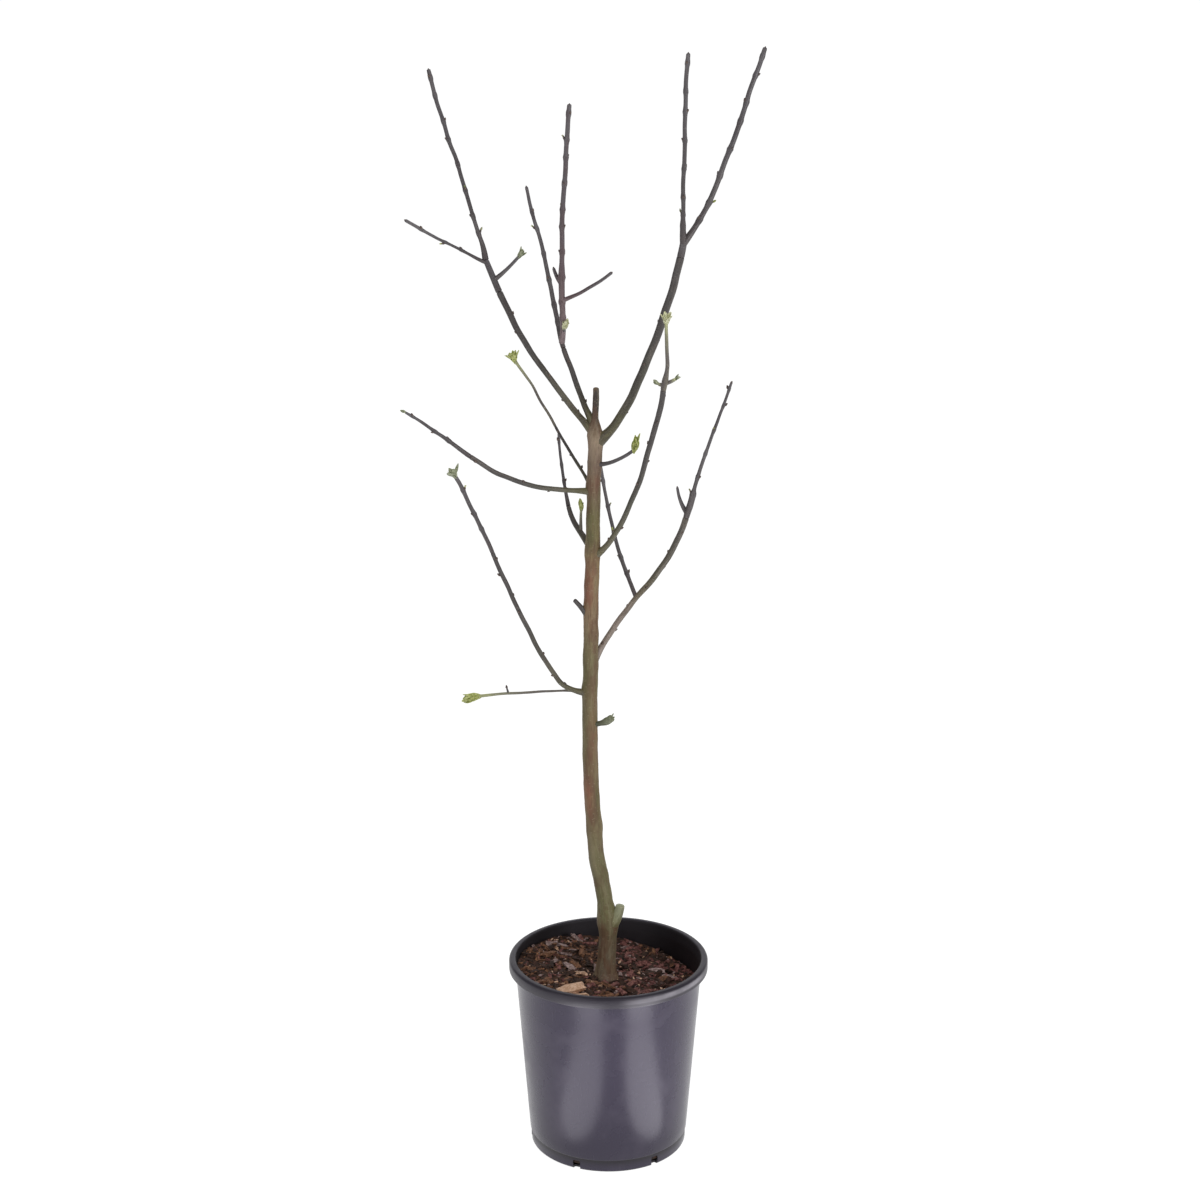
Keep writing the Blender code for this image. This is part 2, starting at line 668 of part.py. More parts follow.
def make_mass(name, limbs, grown, collection, material):
    """One mass of twigs: its limbs, buds and young leaves as one solid, clear of what bears it."""
    bearer = grown[limbs[0].parent][0]
    from_tip = abs(bearer.length - limbs[0].leaves_at) < STEP / 2
    own = {}
    pieces = []
    for limb in limbs:
        start = start_of(limb, {**grown, **own})
        stations = grow(limb, start)
        own[limb.name] = (limb, stations)
        if limb is limbs[0] and from_tip:
            stations[0] = (start + stations[0][1] * CLEARANCE, stations[0][1], stations[0][2])
        pieces.append(tube(limb.name, stations, TWIG_SIDES))
        if limb.buds:
            for count in range(1, int(limb.length / BUD_SPACING) + 1):
                point, way = bud_place(stations, count, BUD_SPACING)
                pieces.append(bud_shape(f"bud_{count}", point, way, BUD_LENGTH, BUD_WIDTH))
        pieces.extend(tuft_shapes(limb, stations))
    body = fused(name, pieces, collection, material)
    if from_tip:
        return body
    cutters = []
    foot = own["stem"][1][0][0]
    for other, stations in grown.values():
        if min((point - foot).length for point, _, _ in stations) < NEAR:
            sides = TRUNK_SIDES if other is TRUNK else BOUGH_SIDES
            cutters.append(tube("keep_clear", stations, sides, CLEARANCE))
    return trimmed(body, cutters, collection, material)


def main():
    """Builds every node of the tree and its pot."""
    clear_scene()
    home = bpy.data.collections.new("potted almond tree")
    bpy.context.scene.collection.children.link(home)
    bark = plain_material("bark", BARK_BROWN, 0.75)
    bough_bark = plain_material("bough_bark", BOUGH_BROWN, 0.7)
    twig_bark = plain_material("twig_bark", TWIG_GREY, 0.65)
    plastic = plain_material("pot_plastic", POT_BLACK, 0.35)
    soil = plain_material("compost", COMPOST_BROWN, 0.95)
    make_pot(home, plastic)
    make_compost(home, soil)
    trunk, stations = make_trunk(home, bark)
    grown = {"trunk": (TRUNK, stations)}
    for bough in BOUGHS:
        make_bough(bough, grown, home, bough_bark)
    for name, limbs in MASSES.items():
        make_mass(name, limbs, grown, home, twig_bark)
    for thing in home.objects:
        thing.data.shade_smooth()
        thing.data.set_sharp_from_angle(angle=math.radians(40))


if __name__ == "__main__":
    main()
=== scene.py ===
"""Dresses the potted almond tree: bark, twigs, buds, young leaves, pot, compost and studio.

Lengths are in metres. The tree grows by the same rule as its solids: each limb is named, leaves
its parent at a distance from the parent's foot, and heads by azimuth (0 along +X, 90 along +Y)
and rise above the level.
"""

import json
import logging
import math
from collections.abc import Callable, Iterable, Sequence
from dataclasses import dataclass, field
from enum import Enum
from random import Random

import bpy
from mathutils import Matrix, Vector, noise

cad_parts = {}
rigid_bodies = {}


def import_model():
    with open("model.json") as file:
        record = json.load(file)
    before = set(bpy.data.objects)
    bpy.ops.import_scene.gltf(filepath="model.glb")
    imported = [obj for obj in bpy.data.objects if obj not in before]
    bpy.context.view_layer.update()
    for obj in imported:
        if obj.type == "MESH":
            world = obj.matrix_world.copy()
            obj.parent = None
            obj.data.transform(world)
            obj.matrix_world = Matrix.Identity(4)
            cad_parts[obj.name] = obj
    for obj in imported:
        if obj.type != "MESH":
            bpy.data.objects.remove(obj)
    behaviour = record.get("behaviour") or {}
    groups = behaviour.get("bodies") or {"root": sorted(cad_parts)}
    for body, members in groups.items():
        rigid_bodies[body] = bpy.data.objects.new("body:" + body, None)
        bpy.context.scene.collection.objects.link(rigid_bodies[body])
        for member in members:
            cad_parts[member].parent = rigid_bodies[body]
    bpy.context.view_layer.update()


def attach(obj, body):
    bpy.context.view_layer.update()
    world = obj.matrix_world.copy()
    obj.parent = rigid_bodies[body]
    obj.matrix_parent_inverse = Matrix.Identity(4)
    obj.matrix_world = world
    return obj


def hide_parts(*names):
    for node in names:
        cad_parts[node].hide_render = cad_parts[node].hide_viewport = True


log = logging.getLogger("almond")

MM = 0.001
STEP = 10 * MM
SEED = 11
BUD_SPACING = 27 * MM
BUD_TURN = 137.5
BUD_LEAN = 38
LEAF_STAGGER = 1.1 * MM
LEAF_SINK = 1.2 * MM

Colour = tuple[float, float, float]
Knots = tuple[tuple[float, ...], ...]


def from_screen(red: int, green: int, blue: int) -> Colour:
    """Turns a screen colour of 0 to 255 a channel into the linear one that shaders take."""
    return tuple(((value / 255 + 0.055) / 1.055) ** 2.4 for value in (red, green, blue))


# Shader graphs


class Wire:
    """One shader output. Its operators add Math nodes, so that masks read as sums."""

    def __init__(self, sheet: "Sheet", socket: bpy.types.NodeSocket) -> None:
        """Keeps the output and the graph that it belongs to."""
        self.sheet = sheet
        self.socket = socket

    def _math(self, operation: str, first: "Wire | float", second: "Wire | float") -> "Wire":
        """Adds one Math node on two values."""
        return self.sheet.node("ShaderNodeMath", {"operation": operation}, {0: first, 1: second})

    def __add__(self, other: "Wire | float") -> "Wire":
        """Sum."""
        return self._math("ADD", self, other)

    def __radd__(self, other: float) -> "Wire":
        """Sum, with the number first."""
        return self._math("ADD", other, self)

    def __sub__(self, other: "Wire | float") -> "Wire":
        """Difference."""
        return self._math("SUBTRACT", self, other)

    def __rsub__(self, other: float) -> "Wire":
        """Difference from a number."""
        return self._math("SUBTRACT", other, self)

    def __mul__(self, other: "Wire | float") -> "Wire":
        """Product."""
        return self._math("MULTIPLY", self, other)

    def __rmul__(self, other: float) -> "Wire":
        """Product, with the number first."""
        return self._math("MULTIPLY", other, self)

    def between(self, low: float, high: float) -> "Wire":
        """A smooth 0 to 1 as the value climbs from low to high."""
        return self.sheet.node(
            "ShaderNodeMapRange",
            {"interpolation_type": "SMOOTHSTEP"},
            {"Value": self, "From Min": low, "From Max": high},
        )


class Sheet:
    """The shader graph of one material."""

    def __init__(self, name: str) -> None:
        """Starts a material with its Principled shader."""
        self.material = bpy.data.materials.new(name)
        self.material.use_nodes = True
        self.tree = self.material.node_tree
        self.shader = self.tree.nodes["Principled BSDF"]

    def _feed(self, socket: bpy.types.NodeSocket, value: object) -> None:
        """Links a wire to an input, or sets it to a constant."""
        if isinstance(value, Wire):
            self.tree.links.new(value.socket, socket)
        elif socket.type == "RGBA" and len(value) == 3:
            socket.default_value = (*value, 1)
        else:
            socket.default_value = value

    def node(
        self, kind: str, settings: dict | None = None, inputs: dict | None = None, out: int | str = 0
    ) -> Wire:
        """Adds one node.

        Args:
            kind: the node's type.
            settings: its properties, with a ramp's stops as "stops": ((place, colour), ...).
            inputs: values or wires for its inputs, by name or number.
            out: the output wanted, by name or number.

        Returns:
            That output as a wire.
        """
        made = self.tree.nodes.new(kind)
        for name, value in (settings or {}).items():
            if name == "stops":
                self._set_stops(made.color_ramp, value)
            else:
                setattr(made, name, value)
        for key, value in (inputs or {}).items():
            self._feed(made.inputs[key], value)
        return Wire(self, made.outputs[out])

    @staticmethod
    def _set_stops(ramp: bpy.types.ColorRamp, stops: Sequence[tuple[float, Colour]]) -> None:
        """Gives a ramp its stops."""
        while len(ramp.elements) < len(stops):
            ramp.elements.new(1)
        for element, (place, colour) in zip(ramp.elements, stops):
            element.position = place
            element.color = (*colour, 1)

    def set(self, **inputs: object) -> "Sheet":
        """Feeds the Principled shader, with underscores for the spaces in an input's name."""
        for name, value in inputs.items():
            self._feed(self.shader.inputs[name.replace("_", " ")], value)
        return self

    def place(self, stretch: Colour = (1, 1, 1), attribute: str = "") -> Wire:
        """Coordinates for a pattern: the object's own, or an attribute's, stretched."""
        if attribute:
            source = self.node("ShaderNodeAttribute", {"attribute_name": attribute}, out="Vector")
        else:
            source = self.node("ShaderNodeTexCoord", out="Object")
        return self.node("ShaderNodeVectorMath", {"operation": "MULTIPLY"}, {0: source, 1: stretch})

    def amount(self, attribute: str) -> Wire:
        """A number that the mesh carries at each point."""
        return self.node("ShaderNodeAttribute", {"attribute_name": attribute}, out="Fac")

    def length(self, place: Wire) -> Wire:
        """How far a place lies from the origin."""
        return self.node("ShaderNodeVectorMath", {"operation": "LENGTH"}, {0: place}, "Value")

    def reach(self, place: Wire, way: Colour) -> Wire:
        """How far a place lies from the origin towards a way."""
        return self.node("ShaderNodeVectorMath", {"operation": "DOT_PRODUCT"}, {0: place, 1: way}, "Value")

    def noise(self, place: Wire, scale: float, detail: float = 3, rough: float = 0.6) -> Wire:
        """Smooth noise of about 0.3 to 0.7."""
        inputs = {"Vector": place, "Scale": scale, "Detail": detail, "Roughness": rough}
        return self.node("ShaderNodeTexNoise", {}, inputs, "Fac")

    def spots(self, place: Wire, scale: float, size: float) -> Wire:
        """Scattered soft spots, 1 at their middles.

        Args:
            place: the coordinates that they lie on.
            scale: how many there are to a unit length.
            size: their radius as a share of their spacing.
        """
        inputs = {"Vector": place, "Scale": scale}
        distance = self.node("ShaderNodeTexVoronoi", {}, inputs, "Distance")
        return 1 - distance.between(size * 0.5, size)

    def ramp(self, share: Wire, stops: Sequence[tuple[float, Colour]]) -> Wire:
        """A colour that changes through the stops."""
        return self.node("ShaderNodeValToRGB", {"stops": stops}, {"Fac": share})

    def mix(self, low: "Wire | Colour", high: "Wire | Colour", share: "Wire | float") -> Wire:
        """A colour between two, by share."""
        settings = {"data_type": "RGBA", "clamp_factor": True}
        return self.node("ShaderNodeMix", settings, {0: share, 6: low, 7: high}, 2)

    def bump(self, height: Wire, strength: float, depth: float) -> Wire:
        """A normal from a height, with the depth in metres."""
        inputs = {"Strength": strength, "Distance": depth, "Height": height}
        return self.node("ShaderNodeBump", {}, inputs)


# Finishes


@dataclass(frozen=True)
class BarkFinish:
    """Young fruit wood bark: fine fibres, streaks, soft patches and pale breathing pores."""

    name: str
    tones: tuple[tuple[float, Colour], ...]
    patch: Colour
    pore: Colour = from_screen(132, 118, 102)
    patchiness: float = 0.5
    roughness: float = 0.6
    streaks: float = 0.35
    blush: Colour = from_screen(132, 84, 60)
    moss: Colour = from_screen(92, 92, 50)

    def make(self) -> bpy.types.Material:
        """Builds the material, which reads the point attributes grain, age and blush."""
        sheet = Sheet(self.name)
        streak = sheet.noise(sheet.place((1, 1, 0.12), "grain"), 190, 3, 0.55)
        fibre = sheet.noise(sheet.place((1, 1, 0.10), "grain"), 1100, 4, 0.62)
        broad = sheet.noise(sheet.place((1, 1, 0.45), "grain"), 85, 3, 0.55)
        crease = sheet.noise(sheet.place((0.5, 0.5, 1), "grain"), 330, 2, 0.5)
        pores = sheet.spots(sheet.place((0.55, 0.55, 1), "grain"), 330, 0.24)
        base = sheet.ramp(sheet.amount("age"), self.tones)
        base = sheet.mix(base, self.patch, broad.between(0.44, 0.62) * self.patchiness)
        blush = sheet.amount("blush") * (0.45 + broad.between(0.36, 0.6) * 0.6)
        base = sheet.mix(sheet.mix(base, self.blush, blush), self.moss, blush * -1)
        base = sheet.mix(base, tuple(0.4 * c for c in self.patch), fibre.between(0.5, 0.68) * 0.5)
        base = sheet.mix(base, self.patch, streak.between(0.52, 0.62) * self.streaks)
        base = sheet.mix(base, self.pore, (1 - streak.between(0.38, 0.48)) * self.streaks * 0.7)
        base = sheet.mix(base, self.pore, pores * 0.4)
        height = fibre * 0.5 + crease * 0.35 + pores * 0.3
        return sheet.set(
            Base_Color=base,
            Roughness=self.roughness + (fibre - 0.5) * 0.35,
            Normal=sheet.bump(height, 0.55, 0.5 * MM),
        ).material


@dataclass(frozen=True)
class PotFinish:
    """Dark moulded plastic: soft sheen, fine scuffs, dust patches, painted shade and a painted rim glint.
    """

    name: str = "pot_plastic"
    deep: Colour = from_screen(53, 47, 66)
    dusty: Colour = from_screen(94, 88, 102)
    # Painted shade: the near-black tone that the pot's inside, base and rim are darkened to.
    shaded: Colour = from_screen(22, 18, 20)
    sheen: Colour = (0.93, 0.90, 1.0)
    taper: float = 18 / 230
    inside: float = 90.2 * MM
    rim: float = 219 * MM
    roughness: float = 0.27
    # Painted highlight: the pale tone, facing and reach of a glint painted on the rim's front right.
    glint_tone: Colour = from_screen(176, 172, 180)
    glint_way: Colour = (0.64, -0.77, 0)
    glint_from: float = 94 * MM

    def make(self) -> bpy.types.Material:
        """Builds the material, with painted shade inside and on the rim, and a painted rim glint."""
        sheet = Sheet(self.name)
        place = sheet.place()
        cloud = sheet.noise(place, 22, 4, 0.6)
        scuff = sheet.noise(sheet.place((1, 1, 0.08)), 420, 3, 0.7)
        pebble = sheet.noise(place, 1500, 2, 0.5)
        dust = cloud.between(0.5, 0.72) * 0.22 + scuff.between(0.6, 0.74) * 0.18
        height = sheet.length(sheet.place((0, 0, 1)))
        reach = sheet.length(sheet.place((1, 1, 0))) - height * self.taper
        # Painted shade: surfaces inward of the outer wall (inside, base, inset foot) and the rim are
        # darkened.
        shade = 1 - reach.between(self.inside - 0.5 * MM, self.inside + 0.5 * MM)
        shade = shade + height.between(self.rim - 3 * MM, self.rim) * 0.75
        base = sheet.mix(sheet.mix(self.deep, self.dusty, dust), self.shaded, shade)
        # Painted highlight: a pale band high on the rim's front right stands in for light glinting off it.
        front = sheet.reach(place, self.glint_way).between(self.glint_from, self.glint_from + 15 * MM)
        band = height.between(self.rim + 1 * MM, self.rim + 4 * MM)
        band = band * (1 - height.between(self.rim + 6.5 * MM, self.rim + 9.5 * MM))
        painted_glint = front * band * (0.34 + cloud.between(0.36, 0.6) * 0.26)
        return sheet.set(
            Base_Color=sheet.mix(base, self.glint_tone, painted_glint),
            Roughness=self.roughness + dust * 0.4 + (cloud - 0.5) * 0.1 + shade * 0.22,
            Specular_Tint=self.sheen,
            Normal=sheet.bump(pebble + scuff * 0.4, 0.1, 0.25 * MM),
        ).material


@dataclass(frozen=True)
class CrumbFinish:
    """Something broken and natural: compost, a bark chip or a splinter of wood."""

    name: str
    dark: Colour
    light: Colour
    scale: float = 300
    stretch: Colour = (1, 1, 1)
    roughness: float = 0.9

    def make(self) -> bpy.types.Material:
        """Builds the material."""
        sheet = Sheet(self.name)
        tone = sheet.noise(sheet.place(self.stretch), self.scale, 4, 0.65)
        grit = sheet.noise(sheet.place(), self.scale * 4, 3, 0.6)
        return sheet.set(
            Base_Color=sheet.mix(self.dark, self.light, tone.between(0.36, 0.68)),
            Roughness=self.roughness - grit * 0.15,
            Normal=sheet.bump(grit + tone, 0.7, 0.6 * MM),
        ).material


@dataclass(frozen=True)
class LeafFinish:
    """A young leaf or a swelling bud: soft, a little shiny and mottled."""

    name: str
    dark: Colour
    light: Colour
    roughness: float = 0.5

    def make(self) -> bpy.types.Material:
        """Builds the material."""
        sheet = Sheet(self.name)
        mottle = sheet.noise(sheet.place(), 420, 2, 0.5)
        vein = sheet.noise(sheet.place(), 1500, 2, 0.5)
        return sheet.set(
            Base_Color=sheet.mix(self.dark, self.light, mottle.between(0.38, 0.62)),
            Roughness=self.roughness + (mottle - 0.5) * 0.3,
            Coat_Weight=0.08,
            Normal=sheet.bump(vein, 0.35, 0.2 * MM),
        ).material


@dataclass(frozen=True)
class StageFinish:
    """The pale seamless ground that the tree is photographed on."""

    name: str = "white_stage"
    glow: float = 0.96

    def make(self) -> bpy.types.Material:
        """Builds the material."""
        sheet = Sheet(self.name)
        sheet.set(Base_Color=(0.15, 0.15, 0.15), Roughness=0.9, Emission_Color=(1, 1, 1))
        return sheet.set(Emission_Strength=self.glow).material


class Bark(Enum):
    """The barks of the tree, from the graft up to the youngest twigs."""

    STEM = BarkFinish(
        "stem_bark",
        (
            (0.0, from_screen(106, 92, 76)), (0.07, from_screen(96, 84, 62)),
            (0.12, from_screen(106, 102, 64)), (0.22, from_screen(114, 106, 72)),
            (0.33, from_screen(114, 92, 60)), (0.48, from_screen(112, 102, 66)),
            (0.56, from_screen(114, 104, 68)), (0.62, from_screen(132, 112, 82)),
            (0.73, from_screen(138, 120, 80)),
            (0.80, from_screen(106, 94, 54)), (0.88, from_screen(118, 100, 84)),
            (0.915, from_screen(158, 136, 114)), (0.94, from_screen(116, 100, 80)),
            (0.955, from_screen(58, 52, 46)),
            (1.0, from_screen(50, 46, 44)),
        ),
        from_screen(92, 60, 38), from_screen(142, 128, 100), 0.6,
    )
    BOUGH = BarkFinish(
        "bough_bark",
        (
            (0.0, from_screen(104, 96, 66)), (0.12, from_screen(88, 84, 56)),
            (0.35, from_screen(74, 72, 58)), (0.6, from_screen(70, 66, 64)),
            (1.0, from_screen(76, 72, 72)),
        ),
        from_screen(54, 46, 44), from_screen(122, 112, 104), 0.5, 0.5,
    )
    PALE = BarkFinish(
        "pale_bough_bark",
        (
            (0.0, from_screen(126, 114, 96)), (0.08, from_screen(150, 136, 126)),
            (0.38, from_screen(150, 136, 126)), (0.48, from_screen(116, 108, 84)),
            (0.62, from_screen(80, 76, 60)), (1.0, from_screen(74, 70, 68)),
        ),
        from_screen(84, 74, 62), from_screen(158, 146, 136), 0.5, 0.5,
    )
    TWIG = BarkFinish(
        "twig_bark",
        (
            (0.0, from_screen(78, 70, 70)), (0.3, from_screen(76, 72, 74)),
            (1.0, from_screen(96, 92, 96)),
        ),
        from_screen(66, 58, 60), from_screen(124, 118, 118), 0.5, 0.46,
    )
    RED = BarkFinish(
        "red_twig_bark",
        (
            (0.0, from_screen(134, 116, 118)), (0.09, from_screen(132, 114, 118)),
            (0.16, from_screen(104, 84, 88)), (0.34, from_screen(98, 82, 88)),
            (0.55, from_screen(84, 77, 81)), (1.0, from_screen(96, 92, 96)),
        ),
        from_screen(80, 60, 62), from_screen(132, 116, 112), 0.55, 0.46,
    )
    SPRIG = BarkFinish(
        "sprig_bark",
        (
            (0.0, from_screen(84, 76, 74)), (0.5, from_screen(104, 98, 94)),
            (0.78, from_screen(148, 148, 118)), (1.0, from_screen(192, 196, 140)),
        ),
        from_screen(96, 88, 76), from_screen(170, 164, 140), 0.3, 0.5,
    )
    MOSS = BarkFinish(
        "mossy_spur",
        (
            (0.0, from_screen(62, 62, 44)), (0.5, from_screen(76, 80, 58)),
            (1.0, from_screen(128, 132, 106)),
        ),
        from_screen(52, 50, 38), from_screen(120, 124, 96), 0.5, 0.6,
    )
    GREEN = BarkFinish(
        "green_wood",
        (
            (0.42, from_screen(112, 104, 68)), (0.62, from_screen(138, 138, 104)),
            (1.0, from_screen(148, 152, 124)),
        ),
        from_screen(112, 106, 74), from_screen(166, 162, 134), 0.4, 0.55,
    )


class Shoot(Enum):
    """The greens of the opening buds."""

    LIME = LeafFinish("leaf_lime", from_screen(152, 162, 82), from_screen(202, 206, 132))
    FRESH = LeafFinish("leaf_fresh", from_screen(134, 144, 82), from_screen(176, 182, 118))
    OLIVE = LeafFinish("leaf_olive", from_screen(124, 126, 84), from_screen(166, 164, 120))
    SAGE = LeafFinish("leaf_sage", from_screen(132, 140, 108), from_screen(168, 172, 142))
    CREAM = LeafFinish("leaf_cream", from_screen(190, 192, 146), from_screen(226, 226, 190))
    BUD = LeafFinish("bud_scale", from_screen(60, 46, 42), from_screen(98, 80, 70), 0.5)


GREENS = (Shoot.LIME, Shoot.FRESH, Shoot.OLIVE, Shoot.SAGE, Shoot.CREAM)


class Chip(Enum):
    """The woods among the compost."""

    DARK = CrumbFinish("chip_dark", from_screen(32, 19, 12), from_screen(68, 42, 30))
    RED = CrumbFinish("chip_red", from_screen(80, 42, 40), from_screen(134, 90, 82))
    BROWN = CrumbFinish("chip_brown", from_screen(74, 47, 30), from_screen(132, 92, 66))
    GREY = CrumbFinish("chip_grey", from_screen(104, 84, 80), from_screen(164, 142, 138))
    PALE = CrumbFinish("chip_pale", from_screen(176, 136, 106), from_screen(222, 186, 160))


# Modelling by operators


def deselect_all() -> None:
    """Leaves object mode with nothing selected."""
    if bpy.context.object and bpy.context.object.mode != "OBJECT":
        bpy.ops.object.mode_set(mode="OBJECT")
    bpy.ops.object.select_all(action="DESELECT")


def take(piece: bpy.types.Object) -> bpy.types.Object:
    """Selects one object alone and makes it the active one."""
    deselect_all()
    piece.select_set(True)
    bpy.context.view_layer.objects.active = piece
    return piece


def edit(piece: bpy.types.Object, wanted: Callable[[Vector], bool] | None = None) -> None:
    """Enters edit mode with the points that the test wants selected, or with all of them."""
    take(piece)
    bpy.ops.object.mode_set(mode="EDIT")
    bpy.ops.mesh.select_mode(type="VERT")
    bpy.ops.mesh.select_all(action="DESELECT" if wanted else "SELECT")
    if wanted:
        bpy.ops.object.mode_set(mode="OBJECT")
        for point in piece.data.vertices:
            point.select = wanted(point.co)
        bpy.ops.object.mode_set(mode="EDIT")


def settle(piece: bpy.types.Object) -> bpy.types.Object:
    """Moves an object's place, turn and size into its mesh."""
    take(piece)
    bpy.ops.object.transform_apply(location=True, rotation=True, scale=True)
    return piece


def finish_with(piece: bpy.types.Object, kind: str, **settings: object) -> bpy.types.Object:
    """Adds one modifier and applies it."""
    take(piece)
    added = piece.modifiers.new(kind.lower(), kind)
    for name, value in settings.items():
        setattr(added, name, value)
    bpy.ops.object.modifier_apply(modifier=added.name)
    return piece


def join(pieces: Sequence[bpy.types.Object], name: str) -> bpy.types.Object:
    """Joins pieces into one named object."""
    take(pieces[0])
    for piece in pieces:
        piece.select_set(True)
    if len(pieces) > 1:
        bpy.ops.object.join()
    joined = bpy.context.object
    joined.name = joined.data.name = name
    return joined


def dress(
    piece: bpy.types.Object, finish: bpy.types.Material, nodes: Iterable[str] = ()
) -> bpy.types.Object:
    """Gives a finished piece its material, its ride and the solids that it stands for.

    Args:
        piece: the finished mesh.
        finish: its material.
        nodes: the solids that it replaces.

    Returns:
        The piece.
    """
    piece.data.materials.clear()
    piece.data.materials.append(finish)
    take(piece)
    bpy.ops.object.shade_smooth_by_angle(angle=math.radians(50))
    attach(piece, "root")
    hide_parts(*nodes)
    log.info("%s: %d faces", piece.name, len(piece.data.polygons))
    return piece


def copied(model: bpy.types.Object, name: str, place: Matrix) -> bpy.types.Object:
    """A copy of a modelled piece with its own mesh, set at a place."""
    mesh = model.data.copy()
    mesh.transform(place)
    made = bpy.data.objects.new(name, mesh)
    bpy.context.scene.collection.objects.link(made)
    return made


def remove(*pieces: bpy.types.Object) -> None:
    """Takes helper objects out of the scene."""
    for piece in pieces:
        bpy.data.objects.remove(piece)


def across(way: Vector) -> Matrix:
    """A turn that takes +Z to the given way."""
    return way.to_track_quat("Z", "Y").to_matrix().to_4x4()


@dataclass(frozen=True)
class Ring:
    """One round section of a swept form."""

    middle: Vector
    way: Vector
    radius: float


def sweep(name: str, rings: Sequence[Ring], sides: int) -> bpy.types.Object:
    """Draws a closed round form by extruding, turning and resizing a disc from ring to ring.

    Args:
        name: the new object's name.
        rings: its sections, in order.
        sides: how many sides each section has.

    Returns:
        The object, at the origin, its points in the order of its rings.
    """
    first = rings[0]
    deselect_all()
    bpy.ops.mesh.primitive_circle_add(
        vertices=sides, radius=first.radius, fill_type="NGON", location=first.middle,
        rotation=across(first.way).to_euler(),
    )
    made = bpy.context.object
    made.name = made.data.name = name
    edit(made)
    for near, far in zip(rings, rings[1:]):
        pull = {"value": tuple(far.middle - near.middle), "orient_type": "GLOBAL"}
        bpy.ops.mesh.extrude_region_move(TRANSFORM_OT_translate=pull)
        if near.way.angle(far.way) > 1e-4:
            turn = near.way.rotation_difference(far.way).to_euler("XYZ")
            for axis, angle in zip("XYZ", turn):
                bpy.ops.transform.rotate(
                    value=-angle, orient_axis=axis, orient_type="GLOBAL", center_override=far.middle
                )
        if abs(far.radius / near.radius - 1) > 1e-6:
            bpy.ops.transform.resize(
                value=(far.radius / near.radius,) * 3, center_override=far.middle
            )
    return settle(made)


# The tree's growth


def heading(azimuth: float, rise: float) -> Vector:
    """The unit vector of a compass angle round Z and an angle above the level."""
    turn, climb = math.radians(azimuth), math.radians(rise)
    level = math.cos(climb)
    return Vector((math.cos(turn) * level, math.sin(turn) * level, math.sin(climb)))


def along_knots(knots: Sequence[tuple], distance: float) -> float | Vector:
    """The value at a distance along (distance, value) knots, straight between them."""
    for (near, low), (far, high) in zip(knots, knots[1:]):
        if distance <= far:
            return low + (high - low) * max(0, (distance - near) / (far - near))
    return knots[-1][1]


def wander(point: Vector) -> Vector:
    """Moves a place a little, alike for all limbs, so that none runs quite true."""
    return point + noise.noise_vector(point * 34) * 1.1 * MM


@dataclass(frozen=True)
class Tuft:
    """The young leaves at a limb's tip."""

    leaves: int
    longest: float
    spread: float
    green: Shoot = Shoot.LIME


@dataclass(frozen=True)
class Limb:
    """One limb, its place on its parent and the way it grows."""

    name: str
    parent: str
    leaves_at: float
    length: float
    thick: Knots
    heads: Knots
    buds: bool = False
    tuft: Tuft | None = None
    bark: Bark = Bark.TWIG

    def grow(self, start: Vector) -> "Grown":
        """Walks the limb from its start in even steps, with a little sway at each bud."""
        heads = [(distance, heading(azimuth, rise)) for distance, azimuth, rise in self.heads]
        wander = Random(f"{SEED} {self.parent} {self.name}")
        steps = max(2, round(self.length / STEP))
        pace = self.length / steps
        point, sway, next_bud = start.copy(), Vector(), BUD_SPACING
        rings = []
        for count in range(steps + 1):
            distance = count * pace
            if self.buds and distance > next_bud:
                sway = Vector([wander.uniform(-1, 1) for _ in range(3)]) * 0.035
                next_bud += BUD_SPACING
            way = (along_knots(heads, distance).normalized() + sway).normalized()
            rings.append(Ring(point.copy(), way, along_knots(self.thick, distance) / 2))
            point = point + way * pace
        return Grown(self, pace, rings)


@dataclass(frozen=True)
class Grown:
    """A limb in place: its evenly spaced rings."""

    limb: Limb
    pace: float
    rings: Sequence[Ring]

    def point_at(self, distance: float) -> Vector:
        """The point on the limb's line at a distance from its foot."""
        place = distance / self.pace
        low = min(int(place), len(self.rings) - 2)
        return self.rings[low].middle.lerp(self.rings[low + 1].middle, place - low)

    def smooth(self, distance: float) -> tuple[Vector, Vector]:
        """The point and heading on a smooth line through the rings."""
        place = min(distance / self.pace, len(self.rings) - 1.0001)
        low = int(place)
        share = place - low
        near, far = self.rings[low], self.rings[low + 1]
        before = self.rings[max(0, low - 1)].way
        pull_near = (before + near.way).normalized() * self.pace
        pull_far = (near.way + far.way).normalized() * self.pace
        square, cube = share**2, share**3
        point = (
            near.middle * (2 * cube - 3 * square + 1)
            + pull_near * (cube - 2 * square + share)
            + far.middle * (3 * square - 2 * cube)
            + pull_far * (cube - square)
        )
        return wander(point), pull_near.lerp(pull_far, share).normalized()

    def tip(self) -> Ring:
        """The limb's last ring."""
        last = self.rings[-1]
        return Ring(wander(last.middle), last.way, last.radius)

    def buds(self) -> list[tuple[Vector, Vector, float]]:
        """The place, heading and distance of each bud, turning round the limb."""
        made = []
        for count in range(1, int(self.limb.length / BUD_SPACING) + 1):
            index = min(len(self.rings) - 2, round(count * BUD_SPACING / STEP))
            ring = self.rings[index]
            side = across(ring.way) @ Matrix.Rotation(math.radians(BUD_TURN * count), 4, "Z")
            out = (side @ Vector((1, 0, 0))).normalized()
            lean = math.radians(BUD_LEAN)
            way = (ring.way * math.cos(lean) + out * math.sin(lean)).normalized()
            made.append((wander(ring.middle) + out * ring.radius * 0.6, way, index * self.pace))
        return made


